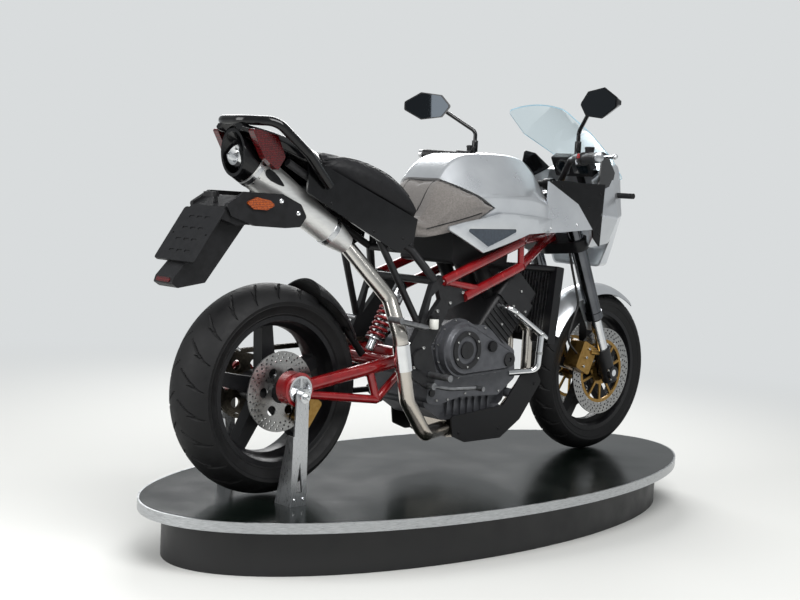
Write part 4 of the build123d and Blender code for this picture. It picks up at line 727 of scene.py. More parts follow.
class MOTO_OT_chain(bpy.types.Operator):
    """Adds the chain's links round both sprockets"""

    bl_idname = "moto.chain"
    bl_label = "Chain"

    def execute(self, context):
        places, pitch = belt(REAR_AXLE, 0.10117, at(585, 0, 400), 0.0432, LINKS)
        places = [place + LEFT * CHAIN_Y for place in places]
        for inside, name in ((True, "chain_inner_links"), (False, "chain_outer_links")):
            points = []
            for k in range(0 if inside else 1, LINKS, 2):
                here, there = places[k], places[(k + 1) % LINKS]
                points.append(((here + there) / 2, LEFT, (there - here).normalized(), 1.0))
            link = link_shape(name, pitch, inside)
            set_on_points(name, link, points, "chassis", "chain", ("drive_chain",))
        return {"FINISHED"}


# Fasteners

TREES = {}


def struck(name, start, direction):
    """Where a line first meets a CAD piece, and which way the surface faces there."""
    if name not in TREES:
        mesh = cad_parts[name].data
        TREES[name] = BVHTree.FromPolygons([v.co for v in mesh.vertices], [p.vertices for p in mesh.polygons])
    place, normal, _, _ = TREES[name].ray_cast(start, direction)
    if place is None:
        raise RuntimeError(f"{name}: nothing on the line from {tuple(start)}")
    return place, normal


def from_side(name, x, z, side):
    """Point for a fastener on a CAD piece seen from one side: place, facing, ahead."""
    place, normal = struck(name, at(x, side * 600, z), LEFT * -side)
    return place, normal, UP


def ring_mesh(name, inner, outer, low, high, steps=32):
    """Flat ring about z, in millimetres."""
    loop = [(inner, low), (outer, low), (outer, high), (inner, high), (inner, low)]
    return lathe(name, [(r / 1000, z / 1000) for r, z in loop], steps)


def turned_part(name, profile, steps=20):
    """Solid of revolution from (radius, height) millimetres."""
    return lathe(name, [(r / 1000, z / 1000) for r, z in profile], steps)


# Turned shapes, as (radius, height) millimetres
CAP_SCREW = [(0, -1), (5, -1), (5, 4), (4.3, 5), (2.6, 5), (2.6, 2.2), (0, 2.2)]
BUTTON = [(0, -0.6), (5, -0.6), (5, 0.6), (4.3, 1.9), (2.7, 2.8), (1.8, 2.8), (1.8, 1.3), (0, 1.3)]
DOME_NUT = [(0, -1), (9, -1), (9, 3), (7.6, 3), (7.4, 8), (5.6, 11.4), (0, 13)]
BOBBIN = [(0, -3.4), (7, -3.4), (7, 3.4), (3.2, 3.4), (3.2, 2), (0, 2)]

# Screws on both sides: piece, size, places as (x, z) millimetres
CASE_SCREWS = (
    ("crankcase", 0.8, (
        (566, 430), (590, 262), (640, 262), (800, 490), (926, 400), (944, 330), (720, 278), (880, 276),
    )),
    ("rear_frame", 1.2, ((455, 380), (545, 320), (492, 440), (545, 555), (600, 580), (655, 612), (570, 650))),
    ("cylinder_block", 1.0, ((925, 560), (985, 540), (880, 500), (960, 610))),
)
TRIM_SCREWS = (
    ("tank_wings", 0.9, ((1062, 826), (1180, 842))),
    ("plate_holder", 1.7, ((24, 846), (-40, 880))),
    ("stand_posts", 1.0, ((-16, 20), (16, 20))),
)
PANEL_SCREWS = (
    ("fairing_sides", 0.9, ((1104, 972), (1230, 900), (1280, 950), (1282, 812))),
    ("fairing_sides", 1.0, ((690, 150), (880, 150), (1050, 290))),
    ("tail_panels", 0.9, ((130, 880), (300, 800), (420, 780))),
)


def on_both_sides(table):
    """Points for the screws of a table, right side first."""
    points = []
    for side in (-1, 1):
        for name, size, places in table:
            points += [(*from_side(name, x, z, side), size) for x, z in places]
    return points


def caliper_face(back, side):
    """Place and facing on a front caliper's outer face, some way along its length."""
    lean = RAKE + radians(40)
    away = Vector((-sin(lean), 0, cos(lean)))
    across = Vector((cos(lean), 0, sin(lean)))
    start = FRONT_AXLE + away * 0.14 + across * (back / 1000) + LEFT * (side * 0.4)
    return struck("front_calipers", start, LEFT * -side)


class MOTO_OT_fasteners(bpy.types.Operator):
    """Adds the screws, the axle's nuts and the discs' bobbins"""

    bl_idname = "moto.fasteners"
    bl_label = "Fasteners"

    def execute(self, context):
        screws = []
        # clutch cover's flange
        for place in belt(at(664, 0, 428), 0.0942, at(868, 0, 388), 0.0442, 15)[0]:
            spot = struck("engine_covers", Vector((place.x, -0.6, place.z)), LEFT)
            screws.append((*spot, UP, 0.66))
        # clutch lid, generator and sprocket cover
        for k in range(6):
            a = 2 * pi * (k + 0.5) / 6
            screws.append((*from_side("engine_covers", 664 + 54 * cos(a), 428 + 54 * sin(a), -1), 0.8))
        for k in range(8):
            a = 2 * pi * k / 8
            screws.append((*from_side("engine_covers", 800 + 79 * cos(a), 352 + 79 * sin(a), 1), 0.8))
        for x, z in ((582, 336), (682, 336), (582, 466), (682, 466)):
            screws.append((*from_side("engine_covers", x, z, 1), 0.9))
        # case halves, frame plates and cylinder head
        screws += on_both_sides(CASE_SCREWS)
        screw = turned_part("cap screw", CAP_SCREW, 12)
        set_on_points("engine_screws", screw, screws, "chassis", "bolt steel")
        trim, panel = on_both_sides(TRIM_SCREWS), on_both_sides(PANEL_SCREWS)
        screw = turned_part("button screw", BUTTON, 14)
        set_on_points("trim_screws", screw, trim, "chassis", "chrome")
        screw = turned_part("black button screw", BUTTON, 14)
        set_on_points("panel_screws", screw, panel, "chassis", "satin black")
        nut = turned_part("dome nut", DOME_NUT, 6)
        nuts = [(at(0, side * 196, 321), LEFT * side, UP, 1.0) for side in (-1, 1)]
        set_on_points("axle_nuts", nut, nuts, "chassis", "chrome")
        bobbins = []
        for side in (-1, 1):
            for k in range(10):
                a = radians(18 + 36 * k)
                place = FRONT_AXLE + Vector((0.118 * cos(a), side * 0.0722, 0.118 * sin(a)))
                bobbins.append((place, LEFT * side, UP, 0.8))
        bobbin = turned_part("bobbin", BOBBIN, 14)
        set_on_points("disc_bobbins", bobbin, bobbins, "front_wheel", "machined")
        # axle clamps, yoke clamps and calipers
        fork = []
        ahead = along_fork(0, 0, 40) - along_fork(0, 0, 0)
        for side in (-1, 1):
            for run in (-18, 20):
                fork.append((along_fork(run, side * 128, -20), LEFT * side, UP, 0.9))
            for run in (506, 534, 690):
                fork.append((along_fork(run, side * 105, 36.6), ahead, UP, 0.9))
            for back in (-34, 0, 34):
                fork.append((*caliper_face(back, side), UP, 1.1))
        screw = turned_part("fork screw", CAP_SCREW, 12)
        set_on_points("fork_screws", screw, fork, "steering", "bolt steel")
        return {"FINISHED"}


# Seats

SEAT_VOXEL = 0.005
# how far a cover is drawn in before it is blown out, and the most that a point may then move
SEAT_TUCK = 0.003
SEAT_SWELL = 0.008
BLOW_FRAMES = 20


def cushion(name, source, finish):
    """Stuffed cover over a CAD seat: remeshed, drawn in a little and blown out by cloth pressure."""
    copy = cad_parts[source].data.copy()
    made = bmesh.new()
    made.from_mesh(copy)
    bmesh.ops.remove_doubles(made, verts=made.verts, dist=1e-5)
    made.to_mesh(copy)
    made.free()
    shape = bpy.data.objects.new(name + " shape", copy)
    bpy.context.collection.objects.link(shape)
    remesh = shape.modifiers.new("voxels", "REMESH")
    remesh.mode = "VOXEL"
    remesh.voxel_size = SEAT_VOXEL
    mesh = evaluated(shape)
    normals = [v.normal.copy() for v in mesh.vertices]
    starts = [v.co - n * SEAT_TUCK for v, n in zip(mesh.vertices, normals)]
    mesh.vertices.foreach_set("co", [c for p in starts for c in p])
    soft = bpy.data.objects.new(name + " soft", mesh)
    bpy.context.collection.objects.link(soft)
    base = soft.vertex_groups.new(name="base")
    base.add([k for k, n in enumerate(normals) if n.z < -0.5], 1.0, "REPLACE")
    ends = starts
    cloth = soft.modifiers.new("cover", "CLOTH")
    cloth.settings.quality = 6
    cloth.settings.use_pressure = True
    cloth.settings.uniform_pressure_force = 4
    cloth.settings.effector_weights.gravity = 0
    cloth.settings.vertex_group_mass = "base"
    cloth.point_cache.frame_end = BLOW_FRAMES
    for step in range(1, BLOW_FRAMES + 1):
        bpy.context.scene.frame_set(step)
    blown = soft.evaluated_get(bpy.context.evaluated_depsgraph_get()).to_mesh()
    ends = []
    for vertex, start in zip(blown.vertices, starts):
        move = vertex.co - start
        if move.length > SEAT_SWELL:
            move *= SEAT_SWELL / move.length
        ends.append(start + move)
    soft.modifiers.remove(cloth)
    bpy.context.scene.frame_set(1)
    mesh.vertices.foreach_set("co", [c for p in ends for c in p])
    mesh.update()
    finer = soft.modifiers.new("finer", "SUBSURF")
    finer.levels = finer.render_levels = 1
    done = evaluated(soft)
    done.shade_smooth()
    cover = keep(name, done, "chassis", finish, (source,))
    return BVHTree.FromPolygons([v.co for v in done.vertices], [p.vertices for p in done.polygons])


def seam(name, tree, lines, r):
    """Sewn welts on a cover, along rows of (start, direction) lines that meet it."""
    welts = []
    for line in lines:
        points = []
        for start, direction in line:
            place, normal, _, _ = tree.ray_cast(start, direction)
            if place is not None:
                points.append(place + normal * r * 0.2)
        welts.append(tube(name, points, r))
    return joined(name, welts)


class MOTO_OT_seats(bpy.types.Operator):
    """Adds stuffed covers with sewn seams over both seats"""

    bl_idname = "moto.seats"
    bl_label = "Seats"

    def execute(self, context):
        down = Vector((0, 0, -1))
        rider = cushion("rider_seat_cover", "rider_seat", "suede")
        lines = []
        for side in (-1, 1):
            lines.append([(at(x, side * (52 + 0.06 * (x - 500)), 1200), down) for x in range(490, 690, 20)])
            edge = range(520, 720, 20)
            lines.append([(at(x, side * 400, 812 + 0.32 * (x - 520)), LEFT * -side) for x in edge])
        welts = seam("rider_seat_seams", rider, lines, 0.0016)
        keep("rider_seat_seams", welts, "chassis", "seat vinyl")
        pillion = cushion("pillion_seat_cover", "pillion_seat", "seat vinyl")
        lines = []
        for side in (-1, 1):
            lines.append([(at(x, side * (66 + 0.09 * (x - 130)), 1200), down) for x in range(135, 470, 25)])
        lines.append([(at(300, y, 1200), down) for y in range(-78, 79, 12)])
        welts = seam("pillion_seat_seams", pillion, lines, 0.0018)
        keep("pillion_seat_seams", welts, "chassis", "seat vinyl")
        return {"FINISHED"}


# Exhaust

SILENCER_FRONT = at(238, -60, 755)
SILENCER_REAR = at(-152, 0, 1012)
SILENCER_DIR = (SILENCER_REAR - SILENCER_FRONT).normalized()


def silencer_radius(run):
    """Radius in metres of the silencer's cone, run millimetres back from its front end."""
    return (44 + 12 * (run - 60) / 345) / 1000


def on_silencer(run, angle, lift):
    """Point run millimetres back along the silencer at an angle from its outer right side, and facing."""
    right = SILENCER_DIR.cross(UP).normalized()
    over = right.cross(SILENCER_DIR)
    if right.y > 0:
        right = -right
    out = right * cos(angle) + over * sin(angle)
    return SILENCER_FRONT + SILENCER_DIR * (run / 1000) + out * (silencer_radius(run) + lift), out


def wrapped(name, outline, lift, depth):
    """Thin plate wrapped on the silencer, from (run, angle) points round its edge."""
    count = len(outline)
    outer = [on_silencer(run, angle, lift)[0] for run, angle in outline]
    inner = [on_silencer(run, angle, lift - depth)[0] for run, angle in outline]
    runs = [run for run, _ in outline]
    angles = [angle for _, angle in outline]
    middle = (sum(runs) / count, sum(angles) / count)
    verts = outer + inner + [on_silencer(*middle, lift)[0], on_silencer(*middle, lift - depth)[0]]
    faces = []
    for k in range(count):
        n = (k + 1) % count
        faces += [(k, n, 2 * count), (n + count, k + count, 2 * count + 1), (k, k + count, n + count, n)]
    return tidy(name, verts, faces)


def half_shell(name, r, thick, sweep, length, steps=20):
    """Part of a tube wall about z, in millimetres, centred on +x."""
    loop = []
    for radius, order in ((r + thick, range(steps + 1)), (r, range(steps, -1, -1))):
        for k in order:
            a = radians(sweep) * (k / steps - 0.5)
            loop.append((radius * cos(a) / 1000, radius * sin(a) / 1000))
    return prism(name, loop, 0, length / 1000)


class MOTO_OT_exhaust(bpy.types.Operator):
    """Adds the silencer's bands, inset and rivets and the pipe's heat shield"""

    bl_idname = "moto.exhaust"
    bl_label = "Exhaust"

    def execute(self, context):
        bands = []
        for run, wide in ((66, 16), (386, 12)):
            r = silencer_radius(run) * 1000
            place = facing(SILENCER_FRONT + SILENCER_DIR * (run / 1000), SILENCER_DIR)
            bands.append(put(ring_mesh("band", r - 0.5, r + 2.2, 0, wide, 48), place))
        keep("silencer_bands", joined("silencer_bands", bands), "chassis", "machined")
        outline = []
        for k in range(28):
            a = 2 * pi * k / 28
            taper = 0.5 + 0.5 * cos(a)
            outline.append((340 + 38 * cos(a), radians(4) + radians(20) * sin(a) * (0.35 + 0.65 * taper)))
        inset = wrapped("silencer_inset", outline, 0.0009, 0.0025)
        keep("silencer_inset", inset, "chassis", "gloss black")
        rivets = []
        for k in range(14):
            place, out = on_silencer(380, 2 * pi * k / 14, 0)
            rivets.append((place, out, SILENCER_DIR, 0.6))
        rivet = turned_part("rivet", BUTTON[:4] + [(0, 2.8)], 10)
        set_on_points("silencer_rivets", rivet, rivets, "chassis", "bolt steel")
        # shield over the upright run of the link pipe, on two clips
        low, high = at(405, -192, 283), at(362, -192, 484)
        rise = (high - low).normalized()
        place = facing(low + rise * 0.098, rise, (-0.35, -1, 0))
        parts = [put(half_shell("shield", 26.5, 1.4, 200, 84), place)]
        for lift in (8, 66):
            parts.append(put(ring_mesh("clip", 24.2, 26.4, lift, lift + 10, 28), place))
        keep("pipe_heat_shield", joined("pipe_heat_shield", parts), "chassis", "chrome")
        return {"FINISHED"}


# Cooling and engine fittings

# Radiator core's two faces: foot and head as (x, z) millimetres, and which way it looks
CORE_FACES = (((1114, 446), (1138, 668), 1), ((1096, 452), (1120, 672), -1))
FINS = 44
TUBES = 19
TUBE_PITCH = 0.0142
CYLINDER_TILT = radians(40)
CYLINDER_FOOT = (838, 452)
PLUG_CAP = [(0, -2), (19, -2), (19, 5), (15, 9), (11, 10), (11, 24), (8, 27), (0, 27)]
BOTTLE = [(0, 0), (13, 0), (15, 3), (15, 30), (13, 33), (0, 33)]
BOTTLE_LID = [(0, 33), (16, 33), (16, 42), (14, 44), (0, 44)]


class MOTO_OT_engine(bpy.types.Operator):
    """Adds the radiator's fins, clamps, plug caps, casting ribs, the oil filler and the fluid bottle"""

    bl_idname = "moto.engine"
    bl_label = "Engine"

    def execute(self, context):
        fins, pipes = [], []
        for (x0, z0), (x1, z1), out in CORE_FACES:
            low, high = at(x0, 0, z0), at(x1, 0, z1)
            rise = (high - low).normalized()
            ahead = rise.cross(LEFT) * -out
            for k in range(FINS):
                fins.append((low + (high - low) * ((k + 0.5) / FINS) + ahead * 0.002, rise, LEFT, 1.0))
            for k in range(TUBES):
                across = LEFT * (TUBE_PITCH * (k - TUBES // 2))
                pipes.append(((low + high) / 2 + ahead * 0.0015 + across, ahead, LEFT, 1.0))
        fin = prism("fin", oblong(-0.134, -0.002, 0.134, 0.003), -0.0004, 0.0004)
        set_on_points("radiator_fins", fin, fins, "chassis", "bare casting")
        pipe = prism("core tube", oblong(-0.0011, -0.109, 0.0011, 0.109), -0.001, 0.003)
        set_on_points("radiator_tubes", pipe, pipes, "chassis", "bare casting")
        # clamps on the coolant pipes' ends
        clamps = []
        for place, along in (
            (at(905, -172, 541.7), (182, 0, -104)), (at(1040, -172, 464.5), (182, 0, -104)),
            (at(1035, -172, 400), (10, 0, 125)),
        ):
            clamps.append((place, Vector(along).normalized(), LEFT, 1.0))
        clamp = ring_mesh("clamp", 10.6, 12.6, -5, 5, 24)
        set_on_points("hose_clamps", clamp, clamps, "chassis", "bolt steel")
        # plug caps on the cam cover
        x, z = CYLINDER_FOOT
        over = Vector((sin(CYLINDER_TILT), 0, cos(CYLINDER_TILT)))
        caps = [(at(x, y, z) + over * 0.246, over, LEFT, 1.0) for y in (-88, 0, 88)]
        plug = turned_part("plug cap", PLUG_CAP, 24)
        set_on_points("plug_caps", plug, caps, "chassis", "black plastic")
        # casting ribs down the cylinders' sides and under the case
        ribs, webs = [], []
        for side in (-1, 1):
            for k in range(6):
                ribs.append((at(x, side * 132, z) + over * (0.022 + 0.018 * k), over, LEFT * side, 1.0))
            for k in range(7):
                webs.append((at(660 + 32 * k, side * 108, 232), Vector((1, 0, 0)), LEFT * side, 1.0))
        rib = prism("rib", oblong(-0.004, -0.066, 0.004, 0.066), -0.0018, 0.0018)
        set_on_points("cylinder_ribs", rib, ribs, "chassis", "cast black")
        web = prism("web", [(-0.003, -0.03), (0.009, -0.02), (0.009, 0.024), (-0.003, 0.03)], -0.0022, 0.0022)
        set_on_points("sump_webs", web, webs, "chassis", "cast grey")
        # knurled oil filler on the clutch cover
        place, normal, _ = from_side("engine_covers", 780, 436, -1)
        knurl = [0.017 + 0.0012 * (k % 2) for k in range(36)]
        loop = [(r * cos(2 * pi * k / 36), r * sin(2 * pi * k / 36)) for k, r in enumerate(knurl)]
        filler = put(prism("oil_filler", loop, -0.002, 0.011), facing(place, normal, UP))
        keep("oil_filler", filler, "chassis", "satin black")
        # rear brake's fluid bottle on the right plate
        place, normal, _ = from_side("rear_frame", 520, 500, -1)
        stand = facing(place + Vector((0, -0.016, 0)), UP)
        for name, profile, finish, slot in (
            ("fluid_bottle", BOTTLE, "white bottle", "lamp_clear"),
            ("fluid_bottle_lid", BOTTLE_LID, "black plastic", "plastic_black"),
        ):
            keep(name, put(turned_part(name, profile), stand), "chassis", finish)
        return {"FINISHED"}


# Suspension

DAMPER_FOOT, DAMPER_HEAD = at(404, 0, 404), at(538, 0, 644)
SPRING_TURNS = 6.5
SPRING_STEPS = 156
SPRING_RADIUS = 0.0258
FORK_SEAL = [(21.6, 0), (25, 0), (29, 6), (29, 8), (21.6, 8), (21.6, 0)]
FORK_CAP = [(0, 0), (24, 0), (24, 5), (21, 7), (13, 7), (13, 12), (6, 12), (6, 16), (0, 16)]


class MOTO_OT_suspension(bpy.types.Operator):
    """Adds the rear damper with its coil spring, fork seals and fork caps"""

    bl_idname = "moto.suspension"
    bl_label = "Suspension"

    def execute(self, context):
        span = DAMPER_HEAD - DAMPER_FOOT
        place = facing(DAMPER_FOOT, span.normalized())
        run = span.length * 1000
        body = [
            (0, 18), (15, 18), (15, 0.2 * run - 4), (31, 0.2 * run - 4), (31, 0.2 * run), (11, 0.2 * run + 2),
            (11, 0.45 * run), (19, 0.46 * run), (19, 0.7 * run), (31, 0.7 * run), (31, 0.78 * run),
            (17, 0.79 * run), (15, 0.86 * run), (15, run - 16), (0, run - 16),
        ]
        damper = put(turned_part("damper_body", body, 32), place)
        keep("damper_body", damper, "chassis", "machined", ("rear_shock",))
        coil = []
        for k in range(SPRING_STEPS + 1):
            a = 2 * pi * SPRING_TURNS * k / SPRING_STEPS
            rise = (0.222 + 0.456 * k / SPRING_STEPS) * run / 1000
            coil.append(place @ Vector((SPRING_RADIUS * cos(a), SPRING_RADIUS * sin(a), rise)))
        spring = tube("damper_spring", coil, 0.0052)
        keep("damper_spring", spring, "chassis", "red enamel", ("rear_shock",))
        seals, caps = [], []
        up = along_fork(100, 0, 0) - along_fork(0, 0, 0)
        for side in (-1, 1):
            seals.append((along_fork(218, side * 105, 0), up, LEFT, 1.0))
            caps.append((along_fork(735, side * 105, 0), up, LEFT, 1.0))
        seal = turned_part("seal", FORK_SEAL, 32)
        set_on_points("fork_seals", seal, seals, "steering", "hose rubber")
        cap = turned_part("cap", FORK_CAP, 24)
        set_on_points("fork_caps", cap, caps, "steering", "gold")
        return {"FINISHED"}


# Cockpit and lamps

# Left bar end, the way in along the grip, and the way ahead of the levers' perch
BAR_TIP = at(999, 400, 1066)
BAR_IN = (BAR_TIP - at(1123, 186, 1060)).normalized() * -1
CONTROL_AHEAD = Vector((0.88, 0.46, 0.1)).normalized()

# Instrument panel's face: its middle, the way it looks and its way up
PANEL_FOOT, PANEL_HEAD = at(1372, 0, 1010), at(1334, 0, 1078)
PANEL_MIDDLE = (PANEL_FOOT + PANEL_HEAD) / 2
PANEL_FACE = Vector((-68, 0, -38)).normalized()
PANEL_RISE = (PANEL_HEAD - PANEL_FOOT).normalized()

# Turned shapes, as (radius, height) millimetres
BAR_WEIGHT = [(0, 0), (15, 0), (15.5, 3), (14, 14), (6, 16), (0, 16)]
RESERVOIR_LID = [(0, -2), (17, -2), (17, 4), (15, 6), (0, 6)]
FILLER_CAP = [(0, -3), (38, -3), (38, 3), (35, 5), (27, 5), (26, 3), (22, 3), (21, 6), (0, 6.5)]
LOCK = [(0, 0), (17, 0), (17, 8), (15, 10), (9, 10), (9, 8), (0, 8)]
LAMP_BOWL = [(0, 0), (10, 0), (24, 6), (32, 16), (35, 28), (37, 28), (34, 12), (24, 0), (10, -6), (0, -6)]
LAMP_LENS = [(0, 0), (13, 0), (16, 6), (13, 14), (7, 18), (0, 19)]


def mirrored(point):
    """The same place or direction on the right side."""
    return Vector((point.x, -point.y, point.z))


class MOTO_OT_cockpit(bpy.types.Operator):
    """Adds grip ribs, switches, reservoir lids, the dials, the filler cap and the ignition lock"""

    bl_idname = "moto.cockpit"
    bl_label = "Cockpit"

    def execute(self, context):
        ribs, weights, lids = [], [], []
        perch = BAR_TIP + BAR_IN * 0.161
        for flip in (lambda v: v, mirrored):
            along = flip(BAR_IN)
            for k in range(20):
                ribs.append((flip(BAR_TIP + BAR_IN * (0.006 + 0.0055 * k)), along, UP, 1.0))
            weights.append((flip(BAR_TIP - BAR_IN * 0.008), -along, UP, 1.0))
            lids.append((flip(perch + CONTROL_AHEAD * 0.034 + Vector((0, 0, 0.034))), UP, LEFT, 1.0))
        rib = ring_mesh("rib", 16.2, 17.4, -1.4, 1.4, 24)
        set_on_points("grip_ribs", rib, ribs, "steering", "hose rubber")
        weight = turned_part("weight", BAR_WEIGHT, 24)
        set_on_points("bar_weights", weight, weights, "steering", "machined")
        lid = turned_part("lid", RESERVOIR_LID, 24)
        set_on_points("reservoir_lids", lid, lids, "steering", "satin black")
        # switches on the housings' rear faces
        rear, red = [], []
        for flip, side in ((lambda v: v, 1), (mirrored, -1)):
            for lift, step in ((0.008, 0.134), (-0.009, 0.148)):
                spot = flip(BAR_TIP + BAR_IN * step) + Vector((-0.0195, 0, lift))
                (red if side < 0 and lift > 0 else rear).append((spot, Vector((-1, 0, lift * 30)), UP, 1.0))
        button = prism("button", obround(0.008, 0.0045), -0.004, 0.004)
        set_on_points("switch_buttons", button.copy(), rear, "steering", "bare casting")
        set_on_points("stop_switch", button, red, "steering", "red switch")
        # round dial on the left and a display on the right, on the panel's face towards the rider
        round_dial = facing(PANEL_MIDDLE + LEFT * 0.038, PANEL_FACE, PANEL_RISE)
        dial = put(turned_part("dial", [(0, 0.2), (27, 0.2), (27, 1.2), (0, 1.2)], 40), round_dial)
        display = facing(PANEL_MIDDLE - LEFT * 0.038, PANEL_FACE, LEFT)
        panel = put(prism("panel", oblong(-0.034, -0.024, 0.034, 0.024), 0.0002, 0.0012), display)
        keep("dial_glass", joined("dial_glass", [dial, panel]), "chassis", "dial")
        parts = [put(ring_mesh("bezel", 27, 31, 0, 4, 48), round_dial)]
        for k in range(13):
            a = radians(-30 + 20 * k)
            outward = LEFT * cos(a) + PANEL_RISE * sin(a)
            spot = PANEL_MIDDLE + LEFT * 0.038 + outward * 0.023 + PANEL_FACE * 0.0013
            mark = prism("mark", oblong(-0.003, -0.0006, 0.003, 0.0006), 0, 0.0006)
            parts.append(put(mark, facing(spot, PANEL_FACE, outward)))
        keep("dial_marks", joined("dial_marks", parts), "chassis", "machined")
        # filler cap on the tank, with its ring of screws
        place, normal = struck("fuel_tank", at(900, 0, 1300), Vector((0, 0, -1)))
        flat = facing(place, normal)
        cap = put(turned_part("filler", FILLER_CAP, 40), flat)
        keep("filler_cap", cap, "chassis", "machined")
        ring = []
        for k in range(6):
            a = 2 * pi * k / 6
            offset = Vector((0.031 * cos(a), 0.031 * sin(a), 0.005))
            ring.append((flat @ offset, normal, LEFT, 0.5))
        screw = turned_part("filler screw", CAP_SCREW, 10)
        set_on_points("filler_screws", screw, ring, "chassis", "bolt steel")
        up = (along_fork(100, 0, 0) - along_fork(0, 0, 0)).normalized()
        lock = put(turned_part("lock", LOCK, 28), facing(along_fork(704, 0, 4), up))
        keep("ignition_lock", lock, "steering", "machined")
        return {"FINISHED"}


class MOTO_OT_lamps(bpy.types.Operator):
    """Adds the headlamp's projectors, the rear reflector and the plate lamp"""

    bl_idname = "moto.lamps"
    bl_label = "Lamps"

    def execute(self, context):
        bowls, bulbs = [], []
        for side in (-1, 1):
            ahead = Vector((1, side * 0.12, -0.04)).normalized()
            bowls.append((at(1478, side * 46, 884), ahead, UP, 1.0))
            bulbs.append((at(1478, side * 46, 884) + ahead * 0.006, ahead, UP, 1.0))
        bowl = turned_part("bowl", LAMP_BOWL, 36)
        set_on_points("lamp_bowls", bowl, bowls, "chassis", "chrome")
        bulb = turned_part("bulb", LAMP_LENS, 28)
        set_on_points("lamp_projectors", bulb, bulbs, "chassis", "clear lens")
        # reflector at the plate carrier's lower end, and the lamp over the plate
        place, normal = struck("plate_holder", at(-700, 0, 649), Vector((1, 0, 0)))
        reflector = prism("rear_reflector", obround(0.052, 0.007), -0.001, 0.003)
        keep("rear_reflector", put(reflector, facing(place, normal)), "chassis", "red lens")
        place, normal = struck("plate_holder", at(-205, 0, 1200), Vector((0, 0, -1)))
        hood = prism("plate lamp", obround(0.034, 0.012), 0.012, 0.026)
        stem = turned_part("stem", [(0, -2), (7, -2), (5, 13), (0, 13)], 16)
        parts = [put(hood, facing(place + Vector((-0.016, 0, 0)), UP, LEFT)), put(stem, facing(place, UP))]
        keep("plate_lamp", joined("plate_lamp", parts), "chassis", "black plastic")
        return {"FINISHED"}


# Castings and mouldings whose edges are rounded, and by how many millimetres
SOFT_EDGES = {
    "engine_covers": 2.5, "crankcase": 3.0, "cylinder_block": 2.5, "rear_frame": 1.5, "front_calipers": 2.5,
    "rear_caliper": 2.5, "yokes": 2.0, "tail_panels": 2.0, "plate_holder": 2.0, "fairing_sides": 1.5,
    "tank_wings": 1.5, "silencer_cap": 1.0, "rear_rim": 2.5, "front_rim": 2.5, "stand_posts": 0.8,
    "mirrors": 2.0, "airbox": 3.0,
}


def soften(piece, width):
    """Welds a CAD piece's loose triangles and rounds the edges past an angle."""
    weld = piece.modifiers.new("weld", "WELD")
    weld.merge_threshold = 1e-6
    bevel = piece.modifiers.new("round edges", "BEVEL")
    bevel.width = width / 1000
    bevel.segments = 2
    bevel.limit_method = "ANGLE"
    bevel.angle_limit = radians(38)
    bevel.harden_normals = True


class MOTO_OT_finishes(bpy.types.Operator):
    """Gives each CAD piece its finish and rounds the edges of castings"""

    bl_idname = "moto.finishes"
    bl_label = "Finishes"

    def execute(self, context):
        FINISH.update(make_finishes(context.scene.moto_looks))
        for name, finish in CAD_FINISH.items():
            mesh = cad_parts[name].data
            mesh.materials.clear()
            mesh.materials.append(FINISH[finish])
        for name, finish, inside in PATCHES:
            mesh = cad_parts[name].data
            mesh.materials.append(FINISH[finish])
            for face in mesh.polygons:
                if inside(face.center, face.normal):
                    face.material_index = len(mesh.materials) - 1
        for name, width in SOFT_EDGES.items():
            soften(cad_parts[name], width)
        return {"FINISHED"}


# Stage


def view_from_photo(camera):
    """Places the camera where the photo was taken: yaw from +Y towards +X, pitch and roll."""
    yaw, pitch, roll = radians(43.24), radians(-4.66), radians(2.95)
    ahead = Vector((sin(yaw) * cos(pitch), cos(yaw) * cos(pitch), sin(pitch)))
    right = ahead.cross(UP).normalized()
    up = right.cross(ahead)
    turned = Matrix((right * cos(roll) + up * sin(roll), up * cos(roll) - right * sin(roll), -ahead))
    place = turned.transposed().to_4x4()
    place.translation = at(-2418, -3139, 926)
    camera.matrix_world = place


BACKGROUND = "D9DCDD"


def pale_floor(colour):
    """Matt floor that takes the machine's shadow near by and runs into the background further off."""
    mat, tree, shader = shaded("pale studio floor", {"Base Color": linear("D2D2CF"), "Roughness": 0.8})
    place = node(tree, "ShaderNodeTexCoord").outputs["Object"]
    off = node(tree, "ShaderNodeVectorMath", {0: place}, operation="LENGTH").outputs["Value"]
    far = node(
        tree, "ShaderNodeMapRange", {"Value": off, "From Min": 1.6, "From Max": 5.0},
        interpolation_type="SMOOTHSTEP",
    ).outputs[0]
    glow = node(tree, "ShaderNodeEmission", {"Color": linear(colour)}).outputs[0]
    blend = node(tree, "ShaderNodeMixShader", {0: far, 1: shader.outputs[0], 2: glow}).outputs[0]
    tree.links.new(blend, tree.nodes["Material Output"].inputs["Surface"])
    return mat


def pale_world(colour, level):
    """Even studio light, seen by the camera, also through glass, as the background's pale colour."""
    world = bpy.data.worlds.new("studio")
    world.use_nodes = True
    tree = world.node_tree
    tree.nodes.clear()
    light = node(tree, "ShaderNodeBackground", {"Color": linear("D4D8DA"), "Strength": level}).outputs[0]
    seen = node(tree, "ShaderNodeBackground", {"Color": linear(colour)}).outputs[0]
    rays = node(tree, "ShaderNodeLightPath").outputs
    through = node(
        tree, "ShaderNodeMath", {0: rays["Is Camera Ray"], 1: rays["Is Transmission Ray"]},
        operation="MAXIMUM",
    ).outputs[0]
    both = node(tree, "ShaderNodeMixShader", {0: through, 1: light, 2: seen}).outputs[0]
    node(tree, "ShaderNodeOutputWorld", {"Surface": both})
    return world


